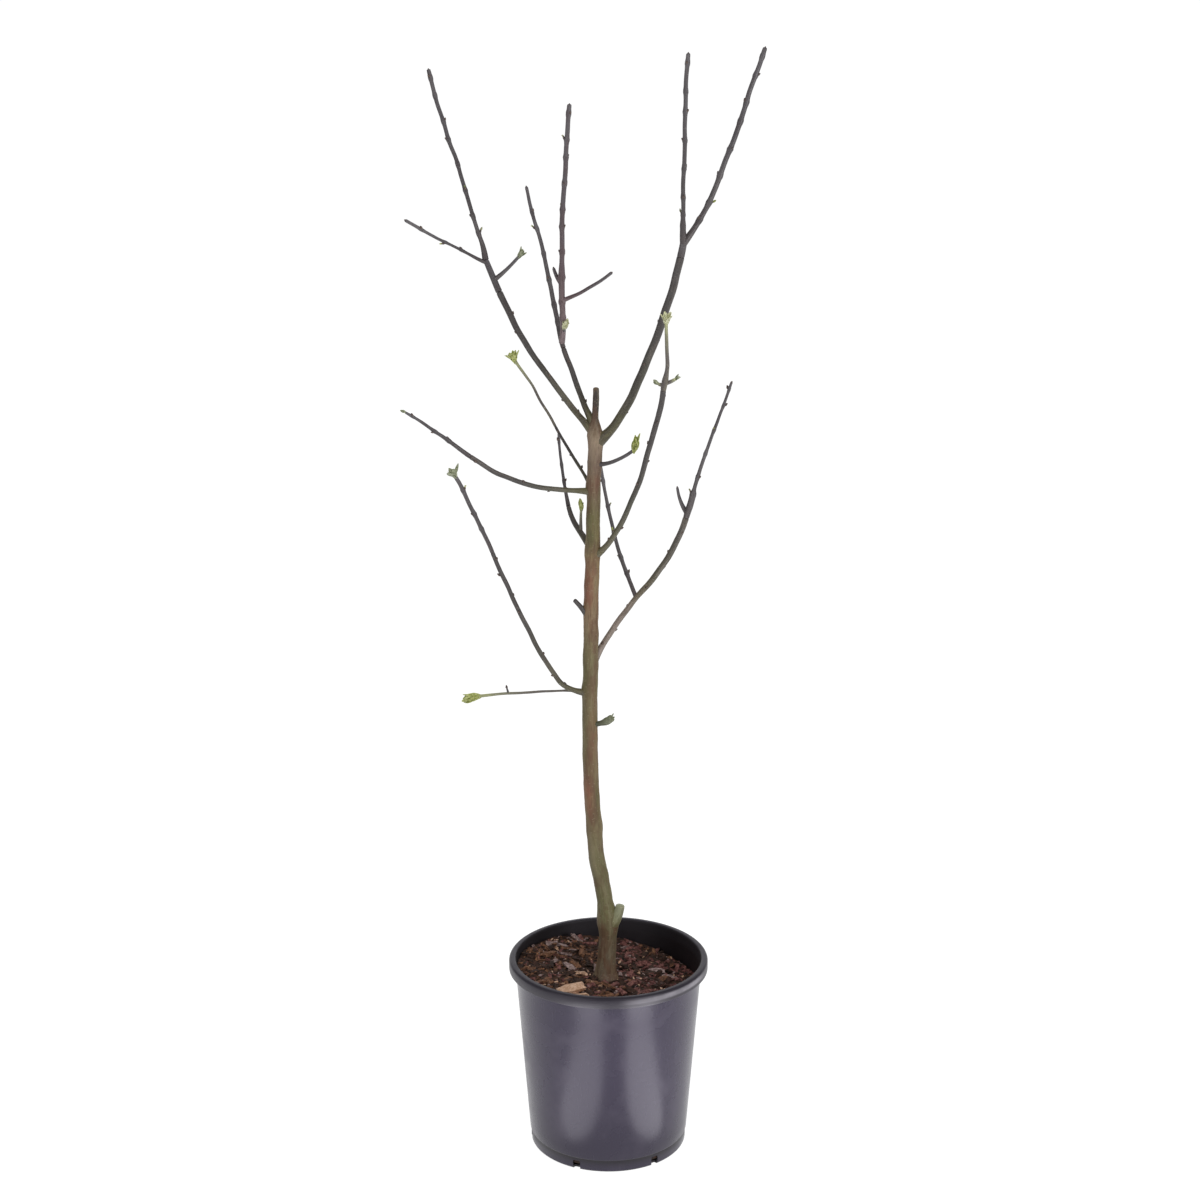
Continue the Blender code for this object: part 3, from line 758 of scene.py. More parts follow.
TRUNK_FOOT = Vector((-3 * MM, 0, 203.3 * MM))
TRUNK = Limb(
    "trunk", "", 0, 0.698,
    (
        (0, 0.030), (0.007, 0.0245), (0.022, 0.021), (0.052, 0.020), (0.066, 0.0235),
        (0.078, 0.0235), (0.095, 0.0185), (0.16, 0.0180), (0.35, 0.0172), (0.50, 0.0160),
        (0.60, 0.0150), (0.63, 0.0155), (0.644, 0.0170), (0.655, 0.0120), (0.664, 0.0072),
        (0.698, 0.0066),
    ),
    (
        (0, 0, 90), (0.012, 0, 87), (0.055, 10, 86), (0.078, 180, 79), (0.115, 176, 79),
        (0.15, 184, 84), (0.24, 182, 88.3), (0.36, 10, 89.2), (0.52, -10, 88.6),
        (0.698, 20, 88.8),
    ),
    bark=Bark.STEM,
)
TRUNK_SPURS = (
    Limb("graft_snag", "trunk", 0.066, 0.031, ((0, 0.018), (0.014, 0.0130), (0.031, 0.0100)),
         ((0, -18, 42), (0.012, -12, 70), (0.031, -8, 86)), bark=Bark.GREEN),
    Limb("left_spur", "trunk", 0.432, 0.034, ((0, 0.0074), (0.012, 0.0062), (0.034, 0.0048)),
         ((0, -163, 60), (0.018, -166, 52), (0.034, -166, 38)), bark=Bark.BOUGH),
    Limb("right_spur", "trunk", 0.312, 0.030,
         ((0, 0.0070), (0.013, 0.0056), (0.021, 0.0092), (0.030, 0.0084)),
         ((0, -20, 10), (0.014, -20, 30), (0.030, -22, 52)),
         tuft=Tuft(2, 6, 24, Shoot.SAGE), bark=Bark.MOSS),
)
BOUGHS = (
    Limb("bough_left", "trunk", 0.646, 0.190,
         ((0, 0.0086), (0.02, 0.0070), (0.09, 0.0062), (0.15, 0.0068), (0.19, 0.0074)),
         ((0, 158, 44.5), (0.05, 158, 49), (0.10, 156, 51), (0.14, 150, 57.5), (0.19, 147, 61.5)),
         bark=Bark.BOUGH),
    Limb("bough_back", "trunk", 0.656, 0.095, ((0, 0.0076), (0.02, 0.0064), (0.095, 0.0056)),
         ((0, 136, 48), (0.03, 133, 57), (0.095, 125, 61)), bark=Bark.BOUGH),
    Limb("bough_right", "trunk", 0.636, 0.240,
         ((0, 0.0110), (0.025, 0.0096), (0.13, 0.0086), (0.24, 0.0082)),
         ((0, -16, 38), (0.03, -24, 55), (0.08, -33, 65), (0.14, -36, 66), (0.19, -46, 70),
          (0.24, -53, 72)), bark=Bark.BOUGH),
    Limb("bough_front", "trunk", 0.508, 0.235,
         ((0, 0.0078), (0.02, 0.0062), (0.10, 0.0058), (0.235, 0.0062)),
         ((0, -28, 36), (0.03, -36, 55), (0.08, -47, 62), (0.14, -56, 65), (0.19, -62, 66),
          (0.235, -72, 67)), bark=Bark.BOUGH),
    Limb("bough_low_right", "trunk", 0.378, 0.212,
         ((0, 0.0084), (0.03, 0.0070), (0.09, 0.0062), (0.12, 0.0068), (0.212, 0.0068)),
         ((0, 20, 60.5), (0.05, 19, 55.5), (0.09, 5, 48.5), (0.13, -25, 53), (0.17, -34, 63),
          (0.212, -44, 70.5)), bark=Bark.PALE),
    Limb("bough_mid_left", "trunk", 0.583, 0.150, ((0, 0.0066), (0.02, 0.0056), (0.15, 0.0052)),
         ((0, -165, 3), (0.04, -165, 9), (0.08, -164, 21), (0.12, -162, 33), (0.15, -161, 38)),
         bark=Bark.BOUGH),
    Limb("bough_left_back", "trunk", 0.584, 0.090,
         ((0, 0.0048), (0.02, 0.0036), (0.09, 0.0032)),
         ((0, 132, 41), (0.05, 131, 43), (0.09, 130, 45)), bark=Bark.BOUGH),
    Limb("bough_rear", "trunk", 0.517, 0.062, ((0, 0.0072), (0.02, 0.0066), (0.062, 0.0052)),
         ((0, 130, 32), (0.03, 127, 38), (0.062, 106, 54)), bark=Bark.BOUGH),
    Limb("bough_low_left", "trunk", 0.350, 0.220, ((0, 0.0072), (0.02, 0.0058), (0.22, 0.0047)),
         ((0, -163, 8), (0.018, -163, 26), (0.04, -158, 55), (0.09, -153, 63), (0.14, -150, 65),
          (0.22, -147, 66)), bark=Bark.BOUGH),
)
MASSES = {
    "twigs_left": (
        Limb("stem", "bough_left", 0.190, 0.038, ((0, 0.0074), (0.038, 0.0064)),
             ((0, 147, 61.5), (0.038, 146, 62))),
        Limb("high", "stem", 0.038, 0.216, ((0, 0.0056), (0.03, 0.0045), (0.216, 0.0046)),
             ((0, 130, 72), (0.02, 142, 66), (0.11, 144, 67), (0.216, 137, 70)), True),
        Limb("low", "stem", 0.034, 0.101, ((0, 0.0034), (0.04, 0.0030), (0.101, 0.0038)),
             ((0, -170, 26), (0.101, -167, 32)), True),
        Limb("spur", "stem", 0.014, 0.043, ((0, 0.0042), (0.043, 0.0036)),
             ((0, -25, 37), (0.043, -25, 48)), tuft=Tuft(5, 13, 44, Shoot.SAGE)),
    ),
    "twigs_back": (
        Limb("stem", "bough_back", 0.095, 0.188,
             ((0, 0.0056), (0.05, 0.0052), (0.12, 0.0044), (0.188, 0.0037)),
             ((0, 125, 61), (0.02, 108, 65), (0.06, 120, 63), (0.188, 123, 64)), True),
        Limb("high", "stem", 0.006, 0.275,
             ((0, 0.0054), (0.03, 0.0064), (0.085, 0.0072), (0.095, 0.0056), (0.275, 0.0050)),
             ((0, -76, 74), (0.04, -100, 72), (0.12, -82, 72), (0.275, -74, 71)), True,
             bark=Bark.RED),
        Limb("side", "high", 0.050, 0.077, ((0, 0.0040), (0.077, 0.0035)),
             ((0, -36, 24), (0.077, -39, 34)), bark=Bark.RED),
        Limb("snag", "high", 0.070, 0.020, ((0, 0.0040), (0.02, 0.0032)),
             ((0, 160, 55), (0.02, 150, 78)), bark=Bark.RED),
        Limb("spur", "high", 0.011, 0.010, ((0, 0.0030), (0.01, 0.0026)),
             ((0, -70, 50), (0.01, -70, 60)), tuft=Tuft(4, 14, 40, Shoot.CREAM)),
    ),
    "twigs_right": (
        Limb("stem", "bough_right", 0.240, 0.017, ((0, 0.0082), (0.017, 0.0076)),
             ((0, -53, 72), (0.017, -53, 72))),
        Limb("high", "stem", 0.015, 0.205,
             ((0, 0.0060), (0.014, 0.0056), (0.02, 0.0062), (0.028, 0.0045), (0.205, 0.0045)),
             ((0, -97, 73), (0.205, -82, 72)), True),
        Limb("outer", "stem", 0.014, 0.217, ((0, 0.0062), (0.03, 0.0058), (0.12, 0.0056), (0.217, 0.0048)),
             ((0, 5, 52), (0.03, 11, 63), (0.08, 13, 69), (0.217, 17, 72)), True),
    ),
    "twigs_front": (
        Limb("stem", "bough_front", 0.235, 0.084,
             ((0, 0.0062), (0.012, 0.0070), (0.024, 0.0044), (0.084, 0.0034)),
             ((0, -66, 67), (0.022, -80, 69), (0.036, -98, 68), (0.084, -92, 67)),
             tuft=Tuft(5, 14, 56, Shoot.CREAM), bark=Bark.SPRIG),
        Limb("spur_left", "stem", 0.006, 0.007, ((0, 0.0036), (0.007, 0.0030)),
             ((0, 170, 4), (0.007, 165, 26)), tuft=Tuft(3, 9, 40, Shoot.SAGE), bark=Bark.SPRIG),
        Limb("spur_right", "stem", 0.008, 0.013, ((0, 0.0036), (0.013, 0.0030)),
             ((0, 0, 16), (0.013, -8, 40)), tuft=Tuft(3, 9, 40, Shoot.SAGE), bark=Bark.SPRIG),
    ),
    "twigs_low_right": (
        Limb("stem", "bough_low_right", 0.212, 0.169,
             ((0, 0.0068), (0.012, 0.0076), (0.026, 0.0072), (0.036, 0.0044), (0.169, 0.0029)),
             ((0, -44, 70.5), (0.02, -46, 71.5), (0.073, -41.5, 67.5), (0.169, -42, 66)), True),
        Limb("snag", "stem", 0.004, 0.032, ((0, 0.0044), (0.032, 0.0030)),
             ((0, 160, 58), (0.032, 120, 84))),
    ),
    "twigs_behind": (
        Limb("stem", "bough_low_right", 0.095, 0.161,
             ((0, 0.0050), (0.03, 0.0047), (0.161, 0.0036)),
             ((0, 128, 53), (0.08, 117, 59), (0.161, 108, 62)), True),
    ),
    "twigs_mid_left": (
        Limb("stem", "bough_mid_left", 0.150, 0.088, ((0, 0.0052), (0.04, 0.0040), (0.088, 0.0028)),
             ((0, -161, 39), (0.05, -162, 36), (0.088, -162, 30)), True,
             tuft=Tuft(3, 8, 32, Shoot.SAGE)),
    ),
    "twigs_left_back": (
        Limb("stem", "bough_left_back", 0.090, 0.096, ((0, 0.0032), (0.06, 0.0030), (0.096, 0.0036)),
             ((0, 130, 45), (0.05, 132, 45), (0.078, 142, 44), (0.096, 142, 62)), tuft=Tuft(7, 15, 74),
             bark=Bark.SPRIG),
    ),
    "twigs_rear": (
        Limb("stem", "bough_rear", 0.062, 0.089, ((0, 0.0052), (0.02, 0.0038), (0.089, 0.0028)),
             ((0, 106, 55), (0.089, 100, 56)), True),
    ),
    "spur_rear": (
        Limb("stem", "bough_rear", 0.026, 0.027, ((0, 0.0032), (0.027, 0.0028)),
             ((0, 80, 72), (0.027, 70, 80)), tuft=Tuft(4, 13, 30), bark=Bark.SPRIG),
    ),
    "twigs_low_left": (
        Limb("stem", "bough_low_left", 0.220, 0.100, ((0, 0.0047), (0.1, 0.0045)),
             ((0, -147, 66), (0.05, -149, 64), (0.1, -151, 60)), True,
             tuft=Tuft(5, 16, 62, Shoot.SAGE)),
    ),
    "twigs_lowest_left": (
        Limb("stem", "bough_low_left", 0.016, 0.128,
             ((0, 0.0030), (0.02, 0.0024), (0.045, 0.0030), (0.1, 0.0032), (0.128, 0.0040)),
             ((0, 157, -7), (0.06, 156, -11), (0.128, 156, -14)), tuft=Tuft(6, 24, 26),
             bark=Bark.SPRIG),
        Limb("snag", "stem", 0.086, 0.009, ((0, 0.0020), (0.009, 0.0016)),
             ((0, 156, 70), (0.009, 156, 80))),
    ),
    "spur_high_right": (
        Limb("stem", "trunk", 0.613, 0.058, ((0, 0.0046), (0.015, 0.0042), (0.058, 0.0038)),
             ((0, -33, 4), (0.018, -33, 22), (0.046, -35, 36), (0.058, -36, 76)), tuft=Tuft(5, 21, 20)),
    ),
}


BLUSHES = (
    (0.472, 0.036, 212, 1.1), (0.475, 0.034, 325, 0.4), (0.228, 0.022, 228, 1.1),
    (0.30, 0.04, 198, -0.9), (0.30, 0.045, 292, 0.5), (0.375, 0.035, 205, -0.8),
    (0.225, 0.03, 325, -0.8), (0.54, 0.024, 250, -1.1), (0.60, 0.02, 300, 0.4),
    (0.14, 0.03, 300, -0.6),
)


@dataclass
class Skin:
    """How finely limbs of one rank are drawn."""

    sides: int
    spacing: float
    relief: float
    collar: float = 0.0
    age: tuple[float, float] = (0.0, 1.0)


@dataclass
class AlmondTree:
    """The grafted tree: trunk, boughs, twigs, buds and young leaves."""

    trunk_skin: Skin = field(default_factory=lambda: Skin(40, 1.8 * MM, 0.8 * MM))
    bough_skin: Skin = field(default_factory=lambda: Skin(16, 2.5 * MM, 0.3 * MM, 0.4, (0, 1)))
    twig_skin: Skin = field(default_factory=lambda: Skin(12, 2.8 * MM, 0.16 * MM, 0.3, (0, 1)))
    tip_round: float = 1.6 * MM
    node_swell: float = 0.3
    node_reach: float = 2.6 * MM
    collar_reach: float = 15 * MM
    bud_length: float = 5.2 * MM
    leaf_width: float = 0.5
    leaf_fold: float = 0.3
    leaf_thick: float = 0.03
    knots: int = 16
    open_share: float = 0.3
    tips: frozenset[float] = frozenset(bough.length for bough in BOUGHS)
    grown: dict[str, Grown] = field(default_factory=dict)
    twigs: list[tuple[str, Grown]] = field(default_factory=list)

    def grow_all(self) -> None:
        """Grows every limb in order, each from its parent."""
        self.grown["trunk"] = TRUNK.grow(TRUNK_FOOT)
        for bough in BOUGHS:
            parent = self.grown[bough.parent]
            self.grown[bough.name] = bough.grow(parent.point_at(bough.leaves_at))
        for mass, limbs in MASSES.items():
            own: dict[str, Grown] = {}
            for limb in limbs:
                parent = own.get(limb.parent) or self.grown[limb.parent]
                own[limb.name] = limb.grow(parent.point_at(limb.leaves_at))
            self.twigs.extend((mass, one) for one in own.values())

    def rings_of(self, grown: Grown, skin: Skin) -> list[tuple[float, Ring]]:
        """The fine rings of a limb, with its collar, its nodes and its rounded tip.

        Args:
            grown: the limb in place.
            skin: how finely it is drawn.

        Returns:
            Each ring with its distance from the limb's foot.
        """
        limb = grown.limb
        nodes = [distance for _, _, distance in grown.buds()] if limb.buds else []
        count = max(4, round(limb.length / skin.spacing))
        distances = [limb.length * i / count for i in range(count + 1)]
        distances[-1:] = [limb.length - self.tip_round * share for share in (0.6, 0.25, 0.06, 0)]
        collar = 0 if limb.leaves_at in self.tips else skin.collar
        made = []
        for distance in sorted(distances):
            point, way = grown.smooth(distance)
            radius = along_knots(limb.thick, distance) / 2
            radius *= 1 + collar * math.exp(-((distance / self.collar_reach) ** 2))
            for node in nodes:
                radius *= 1 + self.node_swell * math.exp(-(((distance - node) / self.node_reach) ** 2))
            left = max(0, (limb.length - distance) / self.tip_round)
            if left < 1:
                radius *= max(0.18, math.sqrt(1 - (1 - left) ** 2))
            made.append((distance, Ring(point, way, radius)))
        return made

    def draw(self, name: str, grown: Grown, skin: Skin) -> bpy.types.Object:
        """Sweeps a limb, roughens it and writes its grain and age on its points."""
        rings = self.rings_of(grown, skin)
        made = sweep(name, [ring for _, ring in rings], skin.sides)
        chance = Random(f"{name} bark").uniform(0, 40)
        grain, age, blush = [], [], []
        young, old = skin.age[1], skin.age[0]
        for index, point in enumerate(made.data.vertices):
            distance, ring = rings[index // skin.sides]
            turn = 2 * math.pi * (index % skin.sides) / skin.sides
            spot = Vector((math.cos(turn) * ring.radius, math.sin(turn) * ring.radius, distance))
            out = (point.co - ring.middle).normalized()
            place = spot + Vector((0, 0, chance))
            point.co += out * skin.relief * self.roughness_at(place)
            grain.extend(place)
            age.append(old + (young - old) * distance / grown.limb.length)
            blush.append(self.blush_at(grown.limb, distance, out))
        layer = made.data.attributes.new("grain", "FLOAT_VECTOR", "POINT")
        layer.data.foreach_set("vector", grain)
        made.data.attributes.new("age", "FLOAT", "POINT").data.foreach_set("value", age)
        made.data.attributes.new("blush", "FLOAT", "POINT").data.foreach_set("value", blush)
        return made

    @staticmethod
    def blush_at(limb: Limb, distance: float, out: Vector) -> float:
        """How far a place on the trunk is reddened, or turned olive where it is below 0."""
        if limb is not TRUNK:
            return 0.0
        return sum(
            strength * math.exp(-(((distance - middle) / reach) ** 2))
            * max(0, out.dot(heading(azimuth, 0)) - 0.1)
            for middle, reach, azimuth, strength in BLUSHES
        )

    @staticmethod
    def roughness_at(place: Vector) -> float:
        """The bark's relief at a place on the straightened limb, from about -1 to 1."""
        long = Vector((place.x * 260, place.y * 260, place.z * 55))
        lumps = Vector((place.x * 90, place.y * 90, place.z * 70))
        fine = Vector((place.x * 700, place.y * 700, place.z * 300))
        return 0.45 * noise.noise(long) + 0.4 * noise.noise(lumps) + 0.25 * noise.noise(fine)

    def swell_trunk(self, trunk: bpy.types.Object) -> None:
        """Raises root ribs at the foot, an uneven graft and a collar under each bough."""
        stem = self.grown["trunk"]
        chance = Random(SEED + 3)
        collars = []
        for _ in range(self.knots):
            point, _ = stem.smooth(chance.uniform(0.12, 0.97) * 0.64)
            side = heading(chance.uniform(0, 360), 0)
            collars.append((point + side * 9 * MM, chance.uniform(0.7, 1.5) * MM))
        for bough in BOUGHS:
            root = self.grown[bough.name]
            out = root.rings[1].way.copy()
            out.z = 0
            side = root.rings[0].middle + out.normalized() * 7 * MM + Vector((0, 0, 4 * MM))
            collars.append((side, root.rings[0].radius * 0.32))
        for point in trunk.data.vertices:
            height = point.co.z - TRUNK_FOOT.z
            middle = stem.smooth(max(0, min(TRUNK.length, height)))[0]
            out = Vector((point.co.x - middle.x, point.co.y - middle.y, 0))
            if out.length < 1 * MM:
                continue
            turn = math.atan2(out.y, out.x)
            rib = 1.1 * MM * math.cos(4 * turn + 0.7) * math.exp(-height / (16 * MM))
            graft = math.exp(-(((height - 72 * MM) / (11 * MM)) ** 2))
            rib += graft * 1.0 * MM * math.cos(2 * turn - 0.4)
            for side, swell in collars:
                rib += swell * math.exp(-(((point.co - side).length / (8 * MM)) ** 2))
            point.co += out.normalized() * rib

    def make_trunk(self) -> None:
        """Models the trunk and the snags and spurs that stand on it."""
        trunk = self.draw("trunk_bark", self.grown["trunk"], self.trunk_skin)
        self.swell_trunk(trunk)
        dress(trunk, Bark.STEM.value.make(), ["trunk"])
        snag_skin = Skin(16, 1.6 * MM, 0.5 * MM, 0.1, (0.2, 1))
        for spur in TRUNK_SPURS:
            grown = spur.grow(self.grown["trunk"].point_at(spur.leaves_at))
            dress(self.draw(spur.name, grown, snag_skin), spur.bark.value.make())
            if spur.tuft:
                self.twigs.append(("trunk", grown))

    def make_boughs(self) -> None:
        """Models each bough from inside the trunk to where it enters its twigs."""
        finishes = {bark: bark.value.make() for bark in (Bark.BOUGH, Bark.PALE)}
        for bough in BOUGHS:
            made = self.draw(f"{bough.name}_bark", self.grown[bough.name], self.bough_skin)
            dress(made, finishes[bough.bark], [bough.name])

    def make_twigs(self) -> None:
        """Models all twigs, joined by the colour of their bark."""
        by_bark: dict[Bark, list[bpy.types.Object]] = {}
        nodes: dict[Bark, list[str]] = {}
        for mass, grown in self.twigs:
            if mass == "trunk":
                continue
            bark = grown.limb.bark
            made = self.draw(f"{mass}_{grown.limb.name}", grown, self.twig_skin)
            by_bark.setdefault(bark, []).append(made)
            if grown.limb.name == "stem":
                nodes.setdefault(bark, []).append(mass)
        for bark, pieces in by_bark.items():
            joined = join(pieces, f"{bark.name.lower()}_twigs")
            dress(joined, bark.value.make(), nodes.get(bark, []))

    def model_bud(self) -> bpy.types.Object:
        """One pointed bud of overlapping scales, a unit long, standing on the origin."""
        deselect_all()
        bpy.ops.mesh.primitive_uv_sphere_add(segments=10, ring_count=9, radius=0.5)
        bud = bpy.context.object
        bud.location.z = 0.42
        settle(bud)
        heights = sorted({round(point.co.z, 4) for point in bud.data.vertices})
        for count, height in enumerate(heights):
            share = (height + 0.08) / 1.0
            girth = 0.62 * (1 - max(0, share - 0.35) ** 1.6) * (1.06 if count % 3 == 1 else 0.94)
            edit(bud, lambda co, height=height: abs(co.z - height) < 1e-3)
            bpy.ops.transform.resize(value=(girth, girth, 1), center_override=(0, 0, height))
        deselect_all()
        return bud

    def model_leaf(self) -> bpy.types.Object:
        """One lance-shaped young leaf a unit long, folded along its midrib, foot at the origin."""
        deselect_all()
        bpy.ops.mesh.primitive_grid_add(
            x_subdivisions=4, y_subdivisions=5, size=1, location=(0, 0, 0.5), rotation=(math.pi / 2, 0, 0)
        )
        leaf = settle(bpy.context.object)
        for row in sorted({round(point.co.z, 4) for point in leaf.data.vertices}):
            half = self.leaf_width * (0.14 + 0.86 * math.sin(math.pi * min(1, 0.05 + row * 0.95)) ** 0.85)
            edit(leaf, lambda co, row=row: abs(co.z - row) < 1e-3)
            bpy.ops.transform.resize(value=(half, 1, 1), center_override=(0, 0, row))
            bpy.ops.transform.translate(value=(0, 0.22 * row**2, 0))
        for aside in sorted({round(abs(point.co.x) / self.leaf_width, 2) for point in leaf.data.vertices}):
            edit(leaf, lambda co, aside=aside: abs(abs(co.x) / self.leaf_width - aside) < 6e-3)
            bpy.ops.transform.translate(value=(0, aside * self.leaf_width * self.leaf_fold, 0))
        deselect_all()
        return finish_with(leaf, "SOLIDIFY", thickness=self.leaf_thick, offset=0)

    def make_buds(self) -> None:
        """Sets a bud at every node of the twigs and boughs and at each bare tip."""
        model = self.model_bud()
        chance = Random(SEED + 1)
        made = []
        bearers = [grown for _, grown in self.twigs if grown.limb.buds]
        bearers += [self.grown[bough.name] for bough in BOUGHS]
        for grown in bearers:
            for point, way, distance in grown.buds():
                if distance < 12 * MM:
                    continue
                size = self.bud_length * chance.uniform(0.75, 1.05)
                place = Matrix.Translation(point) @ across(way) @ Matrix.Scale(size, 4)
                made.append(copied(model, "bud", place))
        for _, grown in self.twigs:
            if not grown.limb.tuft:
                tip = grown.tip()
                place = Matrix.Translation(tip.middle - tip.way * 3.2 * MM) @ across(tip.way)
                made.append(copied(model, "bud", place @ Matrix.Scale(self.bud_length * 0.9, 4)))
        remove(model)
        dress(join(made, "buds"), Shoot.BUD.value.make())

    def make_leaves(self) -> None:
        """Opens a tuft of young leaves at each budding tip, one green to a tuft."""
        model = self.model_leaf()
        chance = Random(SEED + 7)
        by_green: dict[Shoot, list[bpy.types.Object]] = {green: [] for green in GREENS}
        for _, grown in self.twigs:
            tuft = grown.limb.tuft
            if tuft:
                by_green[tuft.green].extend(self.open_tuft(model, grown, tuft))
            for point, way, distance in grown.buds() if grown.limb.buds else []:
                if chance.random() > self.open_share or distance < 12 * MM:
                    continue
                ring = Ring(point + way * 3.4 * MM, way, 0.5 * MM)
                green = chance.choice(GREENS[:3])
                for count in range(3):
                    size = chance.uniform(3.2, 5) * MM
                    by_green[green].append(
                        self.set_leaf(model, ring, math.radians(120 * count), 0.5, size, 0)
                    )
        remove(model)
        for green, leaves in by_green.items():
            dress(join(leaves, f"{green.name.lower()}_leaves"), green.value.make())

    def open_tuft(
        self, model: bpy.types.Object, grown: Grown, tuft: Tuft
    ) -> list[bpy.types.Object]:
        """Copies the leaf round a tip, opening outwards to the tuft's spread.

        Args:
            model: the leaf to copy.
            grown: the limb that bears the tuft.
            tuft: how many leaves it has, how long and how wide open.

        Returns:
            The leaves.
        """
        limb, tip = grown.limb, grown.tip()
        chance = Random(f"{SEED} tuft {limb.parent} {limb.name}")
        inner = Random(f"{SEED} inner {limb.parent} {limb.name}")
        made = []
        for count in range(tuft.leaves):
            turn = math.radians(BUD_TURN * count + chance.uniform(-12, 12))
            lean = math.radians(tuft.spread * (0.35 + 0.65 * (count + 1) / tuft.leaves))
            length = tuft.longest * MM * chance.uniform(0.7, 1)
            rank = tuft.leaves - 1 - count
            made.append(self.set_leaf(model, tip, turn, lean, length, rank))
            for share in (0.8, 0.45):
                made.append(
                    self.set_leaf(
                        model, tip, turn + inner.uniform(0.6, 1.6), lean * share,
                        length * inner.uniform(0.55, 0.9), rank,
                    )
                )
        return made

    @staticmethod
    def set_leaf(
        model: bpy.types.Object, tip: Ring, turn: float, lean: float, length: float, rank: int
    ) -> bpy.types.Object:
        """Sets one leaf of a tuft.

        Args:
            model: the leaf to copy.
            tip: the limb's last ring.
            turn: its place round the tip, in radians.
            lean: how far it leans out, in radians.
            length: its length.
            rank: how many leaves stand above it.

        Returns:
            The leaf.
        """
        out = (across(tip.way) @ Matrix.Rotation(turn, 4, "Z") @ Vector((0, -1, 0))).normalized()
        way = (tip.way * math.cos(lean) + out * math.sin(lean)).normalized()
        side = (across(way).inverted() @ -out).xy.normalized()
        foot = tip.middle + out * tip.radius * 0.5 - tip.way * LEAF_STAGGER * rank
        place = Matrix.Translation(foot - way * LEAF_SINK) @ across(way)
        spin = Matrix.Rotation(math.atan2(-side.x, side.y), 4, "Z")
        return copied(model, "leaf", place @ spin @ Matrix.Scale(length, 4))

    def build(self) -> None:
        """Builds the whole tree."""
        noise.seed_set(SEED)
        self.grow_all()
        self.make_trunk()
        self.make_boughs()
        self.make_twigs()
        self.make_buds()
        self.make_leaves()


# The pot and its filling


